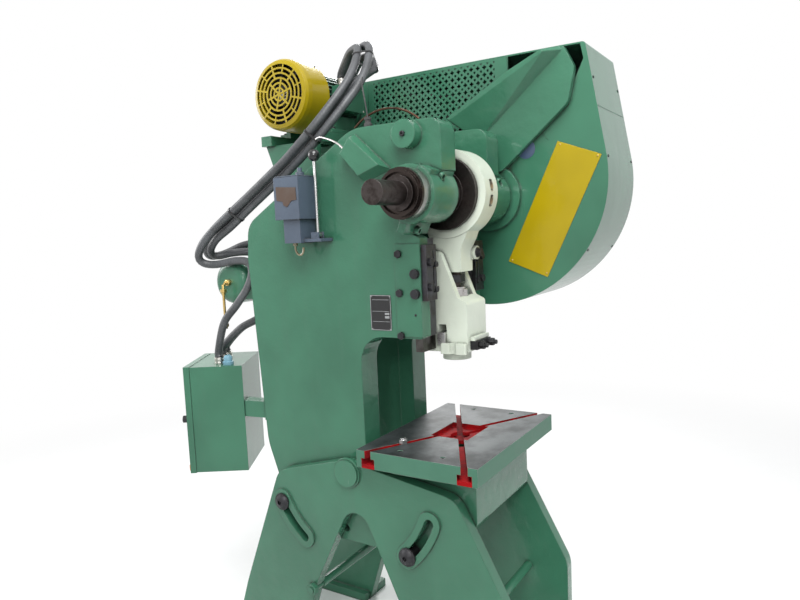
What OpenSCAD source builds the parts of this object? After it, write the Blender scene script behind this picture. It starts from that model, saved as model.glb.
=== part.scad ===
// Open-back inclinable eccentric press. A cast C-frame of two cheeks hangs on two pins between two
// arched legs and leans back round them. The crank lies left to right over the middle of the table.
// +Z is up, -Y is the operator's side, +X the operator's right. The origin is on the floor, midway
// between the four floor-bolt holes and straight under the tilting axis.

/* [Table] */
// Height of the ground table top above the floor
table_h = 830; // [780:5:900]
// Width of the table plate
table_w = 600; // [520:10:660]
// Depth of the table plate, front to back
table_d = 410; // [380:5:430]
// Thickness of the table plate
table_t = 55; // [50:1:70]
// Width of the neck of a T-slot
slot_neck = 18; // [14:1:22]
// Width of the head of a T-slot
slot_head = 40; // [32:1:46]
// Depth of the head of a T-slot
slot_head_h = 18; // [14:1:20]
// Angle of the crossed T-slots to the front edge
slot_angle = 28.6; // [26:0.2:30]
// Sides of the sunk pocket in the middle of the table
pocket = [160, 132]; // [120:1:170]
// Depth of the sunk pocket
pocket_h = 14; // [8:1:18]
// Diameter of the die hole
die_hole_d = 64; // [40:2:90]

/* [Frame] */
// Width of the C-frame over its cheeks
frame_w = 400; // [380:2:420]
// Thickness of a cheek at its rims
cheek_t = 87; // [80:1:95]
// Thickness of a cheek between its rims
cheek_wall = 50; // [35:1:60]
// Distance from the middle of the table to the throat
throat_d = 240; // [225:1:260]
// Height of the throat opening above the table
throat_h = 335; // [325:1:345]
// Height of the crank axis above the table
crank_h = 765; // [755:1:775]
// Height of the top of the head above the crank axis
head_rise = 215; // [205:1:235]
// Outer radius of the main bearing bosses
boss_r = 85; // [80:1:88]

/* [Stand] */
// Thickness of a leg
leg_t = 40; // [30:1:50]
// Clear gap between a leg and a cheek
leg_gap = 3; // [2:0.5:5]
// Spread of the feet to the front and to the back of the tilting axis
foot_reach = 570; // [540:5:600]
// Depth of the tilting axis under the table top
pivot_drop = 105; // [100:1:110]
// Distance from the middle of the table back to the tilting axis
pivot_back = 285; // [280:1:290]
// Radius of the tilting pins
pivot_r = 35; // [30:1:40]
// Radius of the row of the clamping slots round the tilting axis
arc_r = 318; // [312:1:324]
// Largest lean of the frame to the back, in degrees
tilt = 25; // [15:1:25]
// Radius of the tie rods
tie_r = 15; // [12:1:18]
// Diameter of the floor-bolt holes
floor_hole_d = 22; // [18:1:26]

/* [Crank and pitman] */
// Radius of the crankshaft in its main bearings
journal_r = 50; // [46:1:52]
// Throw of the crank, half of the shortest stroke
throw = 5; // [3:0.5:5]
// Radius of the eccentric bush
bush_r = 100; // [96:1:104]
// Outer radius of the pitman's big end
big_end_r = 138; // [134:1:142]
// Width of the pitman's big end along the crank
big_end_w = 90; // [84:1:92]
// Radius of the ball screw
screw_r = 19; // [17:0.5:20]
// Radius of the ball
ball_r = 30; // [28:0.5:31]
// Height of the ball's centre above the table
ball_h = 412; // [410:1:414]

/* [Slide] */
// Width of the slide's painted body
ram_w = 136; // [130:1:140]
// Width of the slide over its guide wings
wing_w = 296; // [290:1:298]
// Height of the slide's underside above the table
ram_h = 275; // [270:1:280]
// Diameter of the hole for the tool shank
shank_d = 40; // [30:1:50]
// Depth of the hole for the tool shank
shank_depth = 50; // [40:1:52]
// Running gap between slide and gibs
slide_gap = 0.3; // [0.2:0.05:0.5]

/* [Drive] */
// Radius of the flywheel
wheel_r = 350; // [335:1:355]
// Width of the flywheel
wheel_w = 140; // [120:2:150]
// Radius of the motor pulley
pulley_r = 70; // [60:1:75]
// Number of V-belts
belts = 3; // [2:1:3]
// Radius of the motor's fan cowl
cowl_r = 125; // [118:1:128]
// Number of cooling fins round the motor
fins = 36; // [24:2:44]
// Width of the belt guard along the crank
guard_w = 340; // [320:5:360]
// Thickness of the guard's sheet
sheet_t = 3; // [2:0.5:4]

/* [Fittings] */
// Size of the hand pump's tank: out from the cheek, front to back, height
pump_size = [90, 100, 133]; // [60:1:140]
// Length of the hand pump's lever
lever_l = 235; // [210:1:260]
// Width, height and depth of the electric cabinet
cabinet_size = [190, 390, 290]; // [180:5:400]
// Radius of the air tank
tank_r = 80; // [70:1:85]
// Length of the air tank
tank_l = 360; // [320:5:400]
// Outer radius of the grey cable conduits
conduit_r = 14; // [11:0.5:14.5]

/* [Hidden] */
$fn = 64;
e = 0.01;
run_gap = 0.05;
half = frame_w / 2;
inner = half - cheek_t;
die_y = -pivot_back;
pivot_h = table_h - pivot_drop;
leg_x0 = half + leg_gap;
leg_x1 = leg_x0 + leg_t;
boss_raise = 8;
floor_hole_y = foot_reach - 115;
floor_hole_x = leg_x1 + 38;
foot_x = leg_x1 + 76;
foot_t = 32;

GREEN = "#4f8a66";
CREAM = "#dcdcc6";
STEEL = "#9a9c9e";
DARK = "#3a3836";
YELLOW = "#e5c414";
GREY = "#8d949c";
RED = "#b3262c";
BRONZE = "#a97d45";

// Places on the frame, as [back, up] from the middle of the table top
bed_front = -150;
bed_h = 168;
frame_low = -360;
guide_y = 8;
back_y = 700;
head_h = crank_h + head_rise;
shoulder_h = crank_h - 60;
head_front = -75;
main_bush_r = journal_r + 12;
cap_tilt = 25;
boss_x_left = 265;
boss_x_right = 255;
cap_split = 88;

// Guide of the slide
pocket_x = wing_w / 2 + slide_gap + 4;
wing_front = 40;
wing_back = 66;
gib_x0 = 118;
gib_top = 617;
gib_low = 450;

// Clamping slots, as angles below the level line through the tilting axis
back_bolt_a = 27.1;
front_bolt_a = 46.6;
clamp_r = 14;

// Drive
wheel_x = 310;
groove_pitch = 20;
belt_w = 12;
belt_h = 10;
belt_x = wheel_x + 40;
shaft_r2 = journal_r - 5;
guard_x = 288;
guard_c = [12, crank_h + 47];
guard_r = 427;
guard_top = crank_h + 473;
motor_c = [633, crank_h + 393];
motor_r = 104;
motor_x0 = 20;
motor_x1 = guard_x - 4;
motor_foot = 132;
rotor_r = 19;
cowl_x = -70;
cowl_l = 130;

// Pump on the left cheek, as [back, up] of its lower front corner
pump_at = [385, 712];
lever_at = [350, 660];
lever_r = 5;

// Cabinet behind the left cheek
cabinet_at = [-305, 930, -186];
cabinet_yaw = -58;
door_t = 22;
wall_t = 3;

// Air tank behind the frame, as [back, up]
tank_at = [850, 500];
tank_x = -160;

// Line of the head's slope down to the back, as [back, up]
slope_y = 235;
slope_a = atan2(head_h - shoulder_h, back_y - 4 - slope_y);

function on_slope(run, height) = [slope_y + run * cos(slope_a) + height * sin(slope_a),
    head_h - run * sin(slope_a) + height * cos(slope_a)];

// Terminal box on the front of the motor
box_size = [120, 54, 90];
box_at = [100, motor_c[0] - motor_r - 2 - box_size[1], motor_c[1] - 50];

// Places of the conduit glands: on top of the terminal box, and on the cabinet's lid
box_gland_x = [125, 159, 193];
gland_l = 24;
gland_r = conduit_r + 3;
cabinet_gland_y = [60, 120, 180];

// Routes of the three cable conduits, from the motor's box down past the slope to the cabinet
ROUTE_A = [
    [125, 500, 1222], [125, 500, 1240], [102, 443, 1297], [72, 391, 1303], [31, 358, 1272],
    [-28, 334, 1213], [-79, 330, 1154], [-131, 346, 1091], [-168, 382, 1030], [-193, 437, 967],
    [-205, 505, 909], [-210, 584, 857], [-212, 670, 804], [-216, 755, 752], [-221, 835, 700],
    [-237, 887, 647], [-235, 916, 601], [-217, 912, 576], [-193, 875, 569], [-169, 800, 580],
    [-161, 747, 574], [-164, 727, 541], [-182, 736, 484], [-203, 777, 421], [-212, 834, 358],
    [-204, 881, 254], [-204, 881, 228]];
ROUTE_B = [
    [159, 500, 1222], [159, 500, 1240], [130, 431, 1315], [93, 372, 1317], [51, 323, 1283],
    [-3, 299, 1215], [-58, 295, 1146], [-114, 316, 1077], [-151, 361, 1009], [-173, 427, 940],
    [-182, 507, 879], [-185, 600, 821], [-187, 694, 763], [-193, 785, 703], [-197, 862, 658],
    [-183, 909, 617], [-158, 904, 599], [-127, 859, 607], [-129, 785, 610], [-129, 733, 602],
    [-99, 728, 577], [-76, 728, 511], [-75, 738, 425], [-88, 777, 365], [-120, 847, 324],
    [-153, 913, 254], [-153, 913, 228]];
ROUTE_C = [
    [193, 500, 1222], [193, 500, 1240], [159, 428, 1287], [118, 368, 1271], [80, 323, 1227],
    [16, 324, 1188], [-50, 338, 1144], [-98, 359, 1080], [-135, 408, 1010], [-157, 477, 939],
    [-166, 561, 877], [-170, 655, 820], [-171, 747, 769], [-178, 842, 708], [-178, 917, 653],
    [-167, 947, 616], [-137, 953, 597], [-107, 912, 606], [-88, 828, 635], [-72, 762, 635],
    [-49, 734, 596], [-36, 731, 514], [-39, 752, 427], [-55, 798, 362], [-85, 874, 321],
    [-102, 945, 254], [-102, 945, 228]];

// Moves to the middle of the table top
module on_table() {
    translate([0, die_y, table_h]) children();
}

// Extrudes a [back, up] outline from x0 to x1
module slab(x0, x1) {
    translate([x0, 0, 0]) rotate([90, 0, 90]) linear_extrude(x1 - x0) children();
}

// A bar or disc along X at [back, up]
module rod_x(x0, x1, at, r, fn = 64) {
    translate([x0, at[0], at[1]]) rotate([0, 90, 0]) cylinder(r = r, h = x1 - x0, $fn = fn);
}

// A bar or disc along Y
module rod_y(y0, y1, x, z, r, fn = 64) {
    translate([x, y0, z]) rotate([-90, 0, 0]) cylinder(r = r, h = y1 - y0, $fn = fn);
}

module both_sides() {
    children();
    mirror([1, 0, 0]) children();
}

function unit(v) = v / norm(v);

// One rounded corner of an outline
function corner(u, p, w, r, n) =
    let (a = unit(u - p), b = unit(w - p), h = acos(a * b) / 2,
         c = p + unit(a + b) * r / sin(h), s = p + a * r / tan(h) - c, t = p + b * r / tan(h) - c,
         a0 = atan2(s[1], s[0]), d = atan2(t[1], t[0]) - a0,
         sweep = d > 180 ? d - 360 : d < -180 ? d + 360 : d)
    [for (i = [0:n]) c + r * [cos(a0 + sweep * i / n), sin(a0 + sweep * i / n)]];

// Outline from [back, up, corner radius] points
function rounded(p, n = 6) =
    let (m = len(p))
    [for (i = [0:m - 1]) let (q = p[i], u = p[(i + m - 1) % m], w = p[(i + 1) % m])
        each (q[2] > 0 ? corner([u[0], u[1]], [q[0], q[1]], [w[0], w[1]], q[2], n) : [[q[0], q[1]]])];

function arc(c, r, a0, a1, n) = [for (i = [0:n]) let (a = a0 + (a1 - a0) * i / n) c + r * [cos(a), sin(a)]];

// Outline of a band that runs round two circles
function loop2(c1, r1, c2, r2, n = 48) =
    let (d = c2 - c1, a = atan2(d[1], d[0]), f = acos((r1 - r2) / norm(d)))
    concat(arc(c1, r1, a + f, a + 360 - f, n), arc(c2, r2, a - f, a + f, n));

// Legs of the stand

module leg_outline() {
    polygon(rounded([
        [-foot_reach, 0, 0], [-foot_reach, pivot_h - 375, 90], [-385, pivot_h - 22, 75],
        [10, pivot_h + 40, 240], [300, pivot_h - 38, 70], [485, pivot_h - 485, 60],
        [foot_reach, 0, 0], [260, 0, 0], [150, pivot_h - 400, 30], [-25, pivot_h - 62, 55],
        [-165, pivot_h - 370, 30], [-330, 0, 0]]));
}

// A band along the row of the clamping slots, from one angle below the level line to another
module arc_band(a0, a1, r, side) {
    sign_a = a1 > a0 ? 1 : -1;
    end0 = arc_r * [cos(a0), -sin(a0)];
    end1 = arc_r * [cos(a1), -sin(a1)];
    pts = concat(arc([0, 0], arc_r + r, -a0, -a1, 10), arc(end1, r, -a1, -a1 - sign_a * 180, 8),
        arc([0, 0], arc_r - r, -a1, -a0, 10), arc(end0, r, 180 - a0, 180 - a0 - sign_a * 180, 8));
    last = len(pts) - 1;
    polygon([for (i = [0:last]) if (norm(pts[i] - pts[i == 0 ? last : i - 1]) > e) [side * pts[i][0], pts[i][1]]]);
}

module leg() {
    slot_r = clamp_r + 1.5;
    back_a1 = back_bolt_a + tilt + 1;
    front_a1 = front_bolt_a - tilt - 1;
    difference() {
        union() {
            slab(leg_x0, leg_x1) leg_outline();
            rod_x(leg_x1 - 1, leg_x1 + boss_raise, [0, pivot_h], 50);
            slab(leg_x1 - 1, leg_x1 + boss_raise) translate([0, pivot_h]) {
                arc_band(back_bolt_a - 1, back_a1, 38, 1);
                arc_band(front_bolt_a + 1, front_a1, 38, -1);
            }
            for (s = [-1, 1])
                translate([leg_x0 - 30, s > 0 ? 262 : -foot_reach, 0])
                    cube([foot_x - leg_x0 + 30, foot_reach - 262 - (s > 0 ? 0 : 70), foot_t]);
        }
        slab(leg_x0 - 1, leg_x1 + boss_raise + 1) translate([0, pivot_h]) {
            arc_band(back_bolt_a - 1, back_a1, slot_r, 1);
            arc_band(front_bolt_a + 1, front_a1, slot_r, -1);
        }
        rod_x(leg_x0 - 1, leg_x1 + boss_raise + 1, [0, pivot_h], pivot_r + run_gap);
        for (s = [-1, 1])
            translate([floor_hole_x, s * floor_hole_y, -1]) cylinder(d = floor_hole_d, h = foot_t + 2);
        for (p = TIE_AT)
            rod_x(leg_x0 - 1, leg_x1 + 1, p, tie_r - 3);
    }
}
TIE_AT = [[-430, pivot_h - 415], [170, pivot_h - 435]];

module leg_left() {
    color(GREEN) mirror([1, 0, 0]) leg();
}

module leg_right() {
    color(GREEN) leg();
}

module tie_rods() {
    color(GREEN) for (p = TIE_AT) {
        rod_x(-leg_x0, leg_x0, p, tie_r);
        rod_x(-leg_x1 - 22, leg_x1 + 22, p, tie_r - 3);
    }
}

module tie_nuts() {
    color(DARK) both_sides() for (p = TIE_AT)
        difference() {
            rod_x(leg_x1, leg_x1 + 18, p, 22, 6);
            rod_x(leg_x1 - 1, leg_x1 + 19, p, tie_r - 3);
        }
}

module tilt_pins() {
    color(STEEL) translate([0, 0, 0]) both_sides() {
        rod_x(half - 60, leg_x1 + boss_raise, [0, pivot_h], pivot_r);
        rod_x(leg_x1 + boss_raise + 0.4, leg_x1 + boss_raise + 6, [0, pivot_h], 44);
        rod_x(leg_x1, leg_x1 + boss_raise + 6, [0, pivot_h], pivot_r - 5);
    }
}

// The places of the clamp bolts, as [back, up] from the tilting axis
BOLT_AT = [arc_r * [cos(back_bolt_a), -sin(back_bolt_a)], arc_r * [-cos(front_bolt_a), -sin(front_bolt_a)]];

module tilt_bolts() {
    head_x = leg_x1 + boss_raise + 0.5;
    color(DARK) both_sides() for (b = BOLT_AT)
        translate([0, b[0], pivot_h + b[1]]) {
            rod_x(half - 45, head_x + 1, [0, 0], clamp_r);
            rod_x(head_x, head_x + 5, [0, 0], 29);
            difference() {
                translate([head_x + 5, 0, 0]) rotate([0, 90, 0]) scale([1, 1, 1]) intersection() {
                    translate([0, 0, -18]) sphere(31);
                    cylinder(r = 26, h = 20);
                }
                rod_x(head_x + 9, head_x + 20, [0, 0], 9, 6);
            }
        }
}

// C-frame, all outlines as [back, up] from the middle of the table top

module cheek_outline() {
    polygon(rounded([
        [head_front, head_h, 38], [235, head_h, 150], [back_y - 4, shoulder_h, 75],
        [back_y + 6, shoulder_h - 120, 0], [664, -64, 200], [560, frame_low, 150], [60, frame_low, 130],
        [bed_front, -table_t - bed_h, 30], [bed_front, -table_t, 4], [throat_d, -table_t, 26],
        [throat_d, throat_h, 84], [guide_y, throat_h, 10], [guide_y, crank_h + cap_split, 0],
        [head_front, crank_h + cap_split - 30, 8]]));
}

module cheek_hollow() {
    rim = 60;
    polygon(rounded([
        [150, head_h - 55, 30], [235, head_h - 50, 90], [645, shoulder_h - 20, 60], [625, -40, 60], [540, -290, 90],
        [throat_d + rim, -290, 30], [throat_d + rim, throat_h + rim, 60], [150, throat_h + rim + 30, 40]]));
}

// Half-space in front of a bearing's parting face, from the crank axis
module cap_space(x0, x1, reach, gap = 0) {
    translate([0, 0, crank_h]) rotate([cap_tilt, 0, 0])
        translate([x0, -reach, -cap_split - 30]) cube([x1 - x0, reach - gap, 2 * cap_split + 30 - gap]);
}

module bearing_boss(x0, x1, r) {
    rod_x(x0, x1, [0, crank_h], r);
}

module side_rib() {
    translate([half, 0, crank_h]) hull() {
        slab(-1, 1) polygon([[222, 197], [270, 135], [190, 47], [95, 80]]);
        slab(42, 45) polygon([[216, 183], [252, 137], [188, 66], [112, 92]]);
    }
}

module c_frame() {
    color(GREEN) on_table() difference() {
        union() {
            both_sides() difference() {
                slab(inner, half) cheek_outline();
                slab(inner - 1, half - cheek_wall) cheek_hollow();
            }
            // Bed between the cheeks
            translate([-inner - 1, bed_front, -table_t - 62]) cube([2 * inner + 2, throat_d - bed_front, 62]);
            translate([-inner - 1, bed_front, -table_t - bed_h + 8]) cube([2 * inner + 2, 45, bed_h - 8]);
            translate([-inner - 1, throat_d - 40, frame_low + 60]) cube([2 * inner + 2, 40, -frame_low - table_t - 60]);
            // Head between the cheeks
            translate([-inner - 1, 60, head_h - 42]) cube([2 * inner + 2, 190, 42]);
            translate([-inner - 1, 205, throat_h + 125]) cube([2 * inner + 2, 45, head_h - throat_h - 125]);
            slab(-inner - 1, inner + 1)
                polygon([on_slope(0, -2), on_slope(500, -2), on_slope(500, -32), on_slope(0, -32)]);
            // Main bearings and their pads
            bearing_boss(-boss_x_left, -inner, boss_r);
            bearing_boss(inner, boss_x_right, boss_r + 8);
            mirror([1, 0, 0]) rod_x(half - 1, half + 40, [27, head_h - 42], 41);
            mirror([1, 0, 0]) side_rib();
            // Raised guide pads on the cheeks
            both_sides() slab(half - 1, half + 3)
                polygon(rounded([[guide_y, throat_h + 6, 0], [guide_y, 622, 0], [98, 622, 6], [98, throat_h + 6, 6]]));
            // Pads and wings for the table
            translate([-half, bed_front, -table_t - 30]) cube([frame_w, 60, 30]);
            translate([-wing_x, -wing_d, -table_t - wing_t]) cube([2 * wing_x, 2 * wing_d, wing_t]);
        }
        rod_x(-half - 100, half + 100, [0, crank_h], main_bush_r);
        cap_space(-boss_x_left - 1, -inner + 1, 160);
        cap_space(inner - 1, boss_x_right + 1, 160);
        // Guide pocket for the slide
        translate([-pocket_x, guide_y - 1, throat_h - 1]) cube([2 * pocket_x, wing_back + slide_gap - guide_y + 1, crank_h - 75 - throat_h]);
        // Way for the slugs under the die
        translate([-100, -90, -table_t - 63]) cube([200, 180, 64]);
        // Tilting pins and clamp bolts
        translate([0, pivot_back, -pivot_drop]) {
            rod_x(-half - 1, half + 1, [0, 0], pivot_r);
            for (b = BOLT_AT)
                both_sides() rod_x(half - 46, half + 1, b, clamp_r);
            rod_x(-half - 1, half + 1, [50, -214], 12);
        }
        for (s = SCREW_AT)
            translate([s[0], s[1], -table_t - wing_t - 1]) cylinder(r = screw_m, h = wing_t + 2, $fn = 32);
        both_sides() for (z = [344, 474, 592])
            rod_x(half - 20, half + 4, [82, z], 7, 32);
        for (b = CAP_BOLTS, s = [-1, 1])
            cap_bolt_at(s, b) cylinder(r = 8, h = 62, $fn = 32);
        both_sides() for (z = GIB_BOLT_Z)
            rod_y(guide_y - 1, guide_y + 30, half - 22, z, 7, 32);
    }
}

// Screws of the table, through the wings of the frame
SCREW_AT = [[-256, 73], [-256, -73], [256, 73], [256, -73]];
screw_m = 5;
wing_x = 272;
wing_d = 95;
wing_t = 14;
GIB_BOLT_Z = [490, 565];
// Cap bolts, as distances from the crank axis along the parting face
CAP_BOLTS = [73, -100];
// Where a cap bolt's head seats, in its pocket above and on a spot face below
function head_seat(along) = along > 0 ? -8 : 6;

// From the outside of the cap into the frame, at right angles to the parting face
module cap_bolt_at(side, along) {
    x = side < 0 ? -(boss_x_left + inner) / 2 - 10 : (boss_x_right + inner) / 2 + 10;
    translate([x, 0, crank_h]) rotate([cap_tilt, 0, 0])
        translate([0, -30, along]) rotate([-90, 0, 0]) children();
}

module bearing_cap(x0, x1, r) {
    lug = 26;
    step = 3;
    difference() {
        intersection() {
            union() {
                bearing_boss(x0, x1, r);
                translate([0, 0, crank_h]) rotate([cap_tilt, 0, 0]) {
                    translate([x0 + step, -42, 0]) cube([x1 - x0 - 2 * step, 50, cap_split + 5]);
                    translate([x0 + step, -lug, -cap_split - 28]) cube([x1 - x0 - 2 * step, lug + 8, 60]);
                }
            }
            cap_space(x0 - 1, x1 + 1, r + 20, 0.3);
        }
        rod_x(x0 - 1, x1 + 1, [0, crank_h], main_bush_r);
        for (b = CAP_BOLTS)
            cap_bolt_at(sign(x0 + x1), b) {
                translate([0, 0, -9]) cylinder(r = 8, h = 70, $fn = 32);
                translate([0, 0, -60]) cylinder(r = 13, h = 60 + head_seat(b), $fn = 32);
            }
    }
}

module bearing_caps() {
    color(GREEN) on_table() {
        bearing_cap(-boss_x_left, -inner - 6, boss_r);
        bearing_cap(inner + 6, boss_x_right, boss_r + 8);
    }
}

module cap_bolts() {
    color(DARK) on_table() for (b = CAP_BOLTS, s = [-1, 1])
        cap_bolt_at(s, b) translate([0, 0, head_seat(b)]) {
            cylinder(r = 8, h = 56, $fn = 32);
            translate([0, 0, -16]) difference() {
                cylinder(r = 12, h = 16, $fn = 32);
                translate([0, 0, -1]) cylinder(r = 7, h = 9, $fn = 6);
            }
        }
}

module main_bush(x0, x1) {
    difference() {
        rod_x(x0, x1, [0, crank_h], main_bush_r);
        rod_x(x0 - 1, x1 + 1, [0, crank_h], journal_r + run_gap);
    }
}

module main_bushes() {
    color(BRONZE) on_table() {
        main_bush(-boss_x_left + 1, -inner);
        main_bush(inner, boss_x_right - 1);
    }
}

// Table

module t_slot() {
    translate([-table_w, -slot_neck / 2, -table_t + 12]) cube([2 * table_w, slot_neck, table_t]);
    translate([-table_w, -slot_head / 2, -table_t + 12]) cube([2 * table_w, slot_head, slot_head_h]);
}

module table_plate() {
    color(STEEL) on_table() difference() {
        translate([-table_w / 2, -table_d / 2, -table_t]) cube([table_w, table_d, table_t]);
        for (a = [slot_angle, -slot_angle])
            rotate([0, 0, a]) t_slot();
        translate([-pocket[0] / 2, -pocket[1] / 2, -pocket_h]) cube([pocket[0], pocket[1], pocket_h + 1]);
        translate([0, 0, -table_t - 1]) cylinder(d = die_hole_d, h = table_t + 2);
        for (s = SCREW_AT) translate([s[0], s[1], 0]) {
            translate([0, 0, -table_t - 1]) cylinder(r = screw_m + 0.5, h = table_t + 2, $fn = 32);
            translate([0, 0, -12]) cylinder(r = screw_m + 4, h = 13, $fn = 32);
        }
    }
}

module table_screws() {
    color(DARK) on_table() for (s = SCREW_AT) translate([s[0], s[1], 0]) difference() {
        union() {
            translate([0, 0, -table_t - wing_t]) cylinder(r = screw_m, h = table_t + wing_t - 11, $fn = 32);
            translate([0, 0, -12]) cylinder(r = screw_m + 3, h = 10, $fn = 32);
        }
        translate([0, 0, -7]) cylinder(r = screw_m - 1, h = 9, $fn = 6);
    }
}

// A clamping bolt left in the slot at the back left
module slot_bolt() {
    top = table_t - 12;
    head = slot_head_h - 3;
    color(STEEL) on_table() rotate([0, 0, -slot_angle]) translate([-215, 0, -top]) {
        translate([-16, -15, slot_head_h - head - slide_gap]) cube([32, 30, head]);
        translate([0, 0, head - 1]) cylinder(r = 8, h = top + 19 - head, $fn = 32);
        difference() {
            translate([0, 0, top]) cylinder(r = 14, h = 13, $fn = 6);
            translate([0, 0, top - 1]) cylinder(r = 8, h = 20, $fn = 32);
        }
    }
}

// Gibs

module gib() {
    on_table() difference() {
        union() {
            translate([136, guide_y - 18, gib_low]) cube([half - 4 - 136, 18, gib_top - gib_low]);
            translate([gib_x0, guide_y, throat_h + 4]) cube([pocket_x - gib_x0 - 0.02, wing_front - slide_gap - guide_y, gib_top - throat_h + 15]);
        }
        translate([150, guide_y - 19, gib_low + 22]) cube([7, 8, gib_top - gib_low - 40]);
        for (z = GIB_BOLT_Z)
            rod_y(guide_y - 20, guide_y + 1, half - 22, z, 7, 32);
    }
}

module gib_left() {
    color(STEEL) mirror([1, 0, 0]) gib();
}

module gib_right() {
    color(STEEL) gib();
}

module gib_liners() {
    color(BRONZE) on_table() both_sides()
        translate([wing_w / 2 + slide_gap, wing_front, throat_h + 4]) cube([4 - 0.02, wing_back - wing_front, 300]);
}

module gib_bolts() {
    color(DARK) on_table() both_sides() for (z = GIB_BOLT_Z) {
        rod_y(guide_y - 18, guide_y + 28, half - 22, z, 7, 32);
        rod_y(guide_y - 28, guide_y - 18, half - 22, z, 13, 6);
        rod_y(guide_y - 26, guide_y - 18, 146, z - 8, 9, 32);
    }
}

// Bolts through the raised pads that set the gibs
module cheek_bolts() {
    color(DARK) on_table() both_sides() {
        for (z = [344, 474, 592]) {
            rod_x(half - 18, half + 3, [82, z], 7, 32);
            rod_x(half + 3, half + 12, [82, z], 12, 6);
        }
        for (z = [472, 532])
            rod_x(half + 3, half + 16, [25, z], 14, 32);
    }
}

module data_plate() {
    color(DARK) on_table() mirror([1, 0, 0]) slab(half, half + 1.5)
        polygon(rounded([[118, 357, 4], [118, 467, 4], [194, 467, 4], [194, 357, 4]], 3));
}

// Crank

module crankshaft() {
    web_r = journal_r + 10;
    color(DARK) on_table() {
        rod_x(-450, -300, [0, crank_h], 34);
        rod_x(-326, -64, [0, crank_h], journal_r);
        rod_x(-inner + 1, -64, [0, crank_h], web_r);
        rod_x(-65, 59, [0, crank_h + throw], 70);
        rod_x(58, inner - 1, [0, crank_h], web_r);
        rod_x(58, 285, [0, crank_h], journal_r);
        rod_x(284, 590, [0, crank_h], shaft_r2);
    }
}

module eccentric_bush() {
    face = big_end_w / 2 + 0.4;
    color(DARK) on_table() difference() {
        union() {
            rod_x(-face - 16, 58, [0, crank_h + throw], bush_r);
            rod_x(-face - 16, -face, [0, crank_h + throw], bush_r + 13);
            rod_x(face, face + 12, [0, crank_h + throw], bush_r + 13);
        }
        rod_x(-face - 20, 59, [0, crank_h + throw], 70);
    }
}

// Stroke-setting collar outside the left bearing
module shaft_collar() {
    color(STEEL) on_table() difference() {
        union() {
            rod_x(-boss_x_left - 46, -boss_x_left - 0.4, [0, crank_h], 73);
            rod_x(-boss_x_left - 60, -boss_x_left - 46, [0, crank_h], 66);
        }
        rod_x(-boss_x_left - 61, -boss_x_left, [0, crank_h], journal_r);
        rod_x(-boss_x_left - 61, -boss_x_left - 50, [0, crank_h], 58);
    }
}

module clutch_hub() {
    x0 = wheel_x + wheel_w + 6;
    color(DARK) on_table() difference() {
        union() {
            rod_x(x0, x0 + 14, [0, crank_h], 150);
            rod_x(x0 + 14, x0 + 60, [0, crank_h], 120);
            rod_x(x0 + 60, x0 + 80, [0, crank_h], 70);
        }
        rod_x(x0 - 1, x0 + 100, [0, crank_h], shaft_r2);
        for (a = [0:60:300])
            translate([0, 0, crank_h]) rotate([a, 0, 0]) rod_x(x0 - 1, x0 + 15, [0, 135], 7, 32);
    }
}

// Pitman

module pitman_side() {
    c = crank_h + throw;
    polygon(concat(
        [[118, c], [-118, c]],
        corner([-118, c - 60], [-46, c - 165], [-44, 525], 90, 6),
        [[-44, 525], [44, 525]],
        corner([44, 525], [46, c - 165], [118, c - 60], 90, 6)));
}

// Clamping lug on the right of the pitman's neck
lug_x = 52;
lug_h = 582;
lug_r = 22;
lug_front = -58;
slit_y = -13;

module pitman() {
    color(CREAM) on_table() difference() {
        union() {
            slab(-42, 42) pitman_side();
            rod_x(-big_end_w / 2, big_end_w / 2, [0, crank_h + throw], big_end_r);
            rod_y(lug_front, 0, lug_x, lug_h, lug_r);
            translate([30, lug_front + 10, lug_h - lug_r]) cube([lug_x - 30, -lug_front - 10, 2 * lug_r]);
        }
        rod_x(-big_end_w, big_end_w, [0, crank_h + throw], bush_r + 12);
        translate([0, 0, 520]) cylinder(r = screw_r + run_gap, h = 115);
        translate([0, slit_y - 1.5, 520]) cube([lug_x + lug_r + 1, 3, 95]);
        rod_y(lug_front - 1, -2, lug_x, lug_h, 8, 32);
        // Oil grooves in the crown of the big end
        for (a = [-8, 12])
            translate([0, 0, crank_h + throw]) rotate([a, 0, 0])
                translate([-8, -big_end_r - 2, -17]) cube([20, 10, 34]);
    }
}

module big_end_bush() {
    color(BRONZE) on_table() difference() {
        rod_x(-big_end_w / 2, big_end_w / 2, [0, crank_h + throw], bush_r + 12);
        rod_x(-big_end_w, big_end_w, [0, crank_h + throw], bush_r + run_gap);
    }
}

module pinch_bolt() {
    color(DARK) on_table() {
        rod_y(lug_front, -4, lug_x, lug_h, 8, 32);
        rod_y(lug_front - 3, lug_front, lug_x, lug_h, 16, 32);
        rod_y(lug_front - 16, lug_front - 3, lug_x, lug_h, 14, 6);
    }
}

module ball_screw() {
    color(DARK) on_table() {
        translate([0, 0, ball_h]) cylinder(r = screw_r, h = 615 - ball_h);
        translate([0, 0, ball_h]) sphere(ball_r);
    }
}

module lock_nut() {
    color(DARK) on_table() difference() {
        union() {
            translate([0, 0, 492]) cylinder(r = 33, h = 22, $fn = 6);
            translate([0, 0, 490]) cylinder(r = 26, h = 2);
        }
        translate([0, 0, 488]) cylinder(r = screw_r, h = 30);
    }
}

// Slide

recess_h = 448;
bar_y = 0;
bar_h = 300;
bar_size = [27, 38];
// Height of the studs of the shank clamp
clamp_h = ram_h + 22;

module ram_side() {
    polygon(rounded([
        [-73, ram_h, 4], [-73, 432, 14], [-42, 446, 10], [14, 590, 16], [wing_back, 596, 0], [wing_back, ram_h, 0]]));
}

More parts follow.
